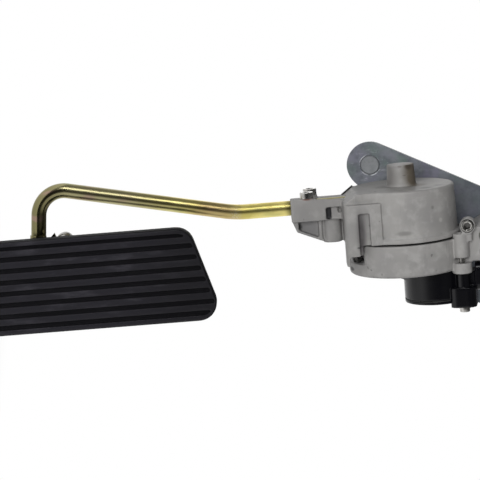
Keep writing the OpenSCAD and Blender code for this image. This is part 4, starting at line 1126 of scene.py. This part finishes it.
def lathe(shape, base, axis, rings):
    """Adds a turned form to a bmesh, in mm; a ring is (along, radius) or (along, radius, 6)."""
    across = axis.orthogonal().normalized()
    other = axis.cross(across)
    loops = []
    for along, radius, *corners in rings:
        loop = []
        for k in range(LATHE_SIDES):
            a = 2 * math.pi * k / LATHE_SIDES
            flat = math.cos(math.pi / 6) / math.cos(a % (math.pi / 3) - math.pi / 6)
            reach = radius * (flat if corners else 1)
            out = across * math.cos(a) + other * math.sin(a)
            loop.append(shape.verts.new(base + (axis * along + out * reach) * MM))
        loops.append(loop)
    for lower, upper in zip(loops, loops[1:]):
        for k in range(LATHE_SIDES):
            after = (k + 1) % LATHE_SIDES
            shape.faces.new((lower[k], lower[after], upper[after], upper[k]))
    shape.faces.new(loops[0])
    shape.faces.new(loops[-1])


def turned(node, forms):
    """One piece of turned forms, in the place of a node."""
    shape = bmesh.new()
    for base, axis, rings in forms:
        lathe(shape, base, axis, rings)
    for face in shape.faces:
        face.smooth = True
    mesh = mesh_from(shape, node + "_turned")
    mesh.set_sharp_from_angle(angle=SHARP_ANGLE)
    dress(new_object(node + "_turned", mesh), node)


# %% Screws
HEAD_ROUND, TIP_CHAMFER, FLANGE_H = 0.45, 0.5, 1


def socket_screw(head_r, head_h, key_r, key_depth, shank_r, length, flange_r=0.0):
    """Rings of a screw with a hexagon recess, from the recess's floor to the shank's tip."""
    rings = [(key_depth, key_r, 6), (0.3, key_r, 6), (0.0, key_r + 0.35)]
    rings += [(0.0, head_r - HEAD_ROUND), (0.13, head_r - 0.15), (HEAD_ROUND, head_r)]
    rings += [(head_h, head_r)]
    if flange_r:
        rings += [(head_h, flange_r), (head_h + FLANGE_H, flange_r)]
        head_h += FLANGE_H
    rings += [(head_h, shank_r), (length - TIP_CHAMFER, shank_r)]
    return rings + [(length, shank_r - TIP_CHAMFER)]


CLAMP_SCREW = socket_screw(head_r=4.5, head_h=4, key_r=2.3, key_depth=2.4, shank_r=2.5, length=18.1)
EAR_SCREW = socket_screw(head_r=4, head_h=3.9, key_r=2.5, key_depth=2.9, shank_r=2.5, length=8.4)
BLOCK_SCREW = socket_screw(head_r=4.2, head_h=3.9, key_r=2.2, key_depth=2.6, shank_r=2.5, length=59.4)


def sensor_screw(length):
    return socket_screw(3.3, 2.4, 1.6, 1.8, 2, length, flange_r=3.8)


turned("clamp_screws", [
    (in_lever(-35.4, -8.3, -63.3), X, CLAMP_SCREW),
    (in_lever(-35.4, 8.3, -60.8), X, CLAMP_SCREW),
])
turned("housing_screws", [
    (at_pivot(-7.4, -19.4, 43.1), Y, EAR_SCREW),
    (at_pivot(10.8, -13.4, 54.5), Y, BLOCK_SCREW),
    (at_pivot(0.5, -13.4, 54.5), Y, BLOCK_SCREW),
])
turned("sensor_screws", [
    (at_pivot(49.9, -15.995, 37.973), -X, sensor_screw(46.1)),
    (at_pivot(49.9, 25.119, 16.479), -X, sensor_screw(38.9)),
])

# %% Hinge pin and studs
PIN_R, PIN_GROOVE_R, DOME_R = 2.5, 1.7, 6.08
DOME_ANGLES = (0.02, 0.2, 0.35, 0.5, 0.65, 0.8, 0.93)
HEAD_R, NECK_R, SHANK_R, CORE_R = 6.62, 4.25, 4.0, 3.55

dome = [(DOME_R * (1 - math.cos(a)), DOME_R * math.sin(a)) for a in DOME_ANGLES]
pin_rings = dome + [
    (4.9, 4.9), (5.2, 4.7), (5.2, PIN_R), (47.5, PIN_R), (47.5, PIN_GROOVE_R),
    (48.5, PIN_GROOVE_R), (48.5, PIN_R), (49.6, PIN_R), (50, 2.1),
]
turned("hinge_pin", [(at_hinge(-21.2, 0, 0), X, pin_rings)])

stud_rings = [
    (0.12, 0.5), (0.1, 4.4), (0.0, 5.4), (0.0, 6.2), (0.1, 6.45), (0.35, HEAD_R), (1.4, HEAD_R),
    (1.4, NECK_R), (3.0, NECK_R), (3.0, SHANK_R), (3.6, SHANK_R), (4.1, CORE_R), (22.2, CORE_R),
    (23.0, 3.0),
]
turned("mounting_studs", [(place, Y, stud_rings) for place in STUDS])

# %% [markdown]
# ## Threads
# The three studs wear the same helix, so Geometry Nodes make it once, as a spiral with a
# diamond section, and stand a copy on every point of a small mesh. A bump in the material
# would be lighter, but the outline of the stud would stay smooth.

# %% Threads
THREAD_START, THREAD_LENGTH, THREAD_TURNS, THREAD_DEPTH = 4.4, 17.5, 14.0, 0.45
SPIRAL_STEPS, SECTION_SIDES = 40, 4


def thread_tree():
    """Geometry Nodes: points in, one thread along +Y from each of them out."""
    sizes = {label: "Float" for label in ("Radius", "Depth", "Length", "Turns")}
    tree, start, end = new_tree("threads", **sizes)
    spiral = step(
        tree, "CurveSpiral", {"Resolution": SPIRAL_STEPS},
        Start_Radius=(start, "Radius"), End_Radius=(start, "Radius"),
        Height=(start, "Length"), Rotations=(start, "Turns"))
    section = step(
        tree, "CurvePrimitiveCircle", {"Resolution": SECTION_SIDES}, Radius=(start, "Depth"))
    sweep = step(
        tree, "CurveToMesh", {"Fill Caps": True},
        Curve=(spiral, "Curve"), Profile_Curve=(section, "Curve"))
    stand = step(
        tree, "InstanceOnPoints", {"Rotation": (math.radians(-90), 0, 0)},
        Points=(start, "Geometry"), Instance=(sweep, "Mesh"))
    end_tree(tree, stand, "Instances", start, end)
    return tree


def stud_threads():
    """The threads of the three studs, as one piece."""
    mesh = bpy.data.meshes.new("thread_points")
    starts = [tuple(place + Y * THREAD_START * MM) for place in STUDS]
    mesh.from_pydata(starts, [], [])
    piece = new_object("stud_threads", mesh)
    winding = piece.modifiers.new("winding", "NODES")
    winding.node_group = thread_tree()
    set_inputs(winding, {
        "Radius": CORE_R * MM, "Depth": THREAD_DEPTH * MM, "Length": THREAD_LENGTH * MM,
        "Turns": THREAD_TURNS, "Material": MATERIALS["stud_steel"],
    })
    finished(piece)
    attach(piece, "base")
    print(piece.name, triangles_of(piece), "triangles")


stud_threads()
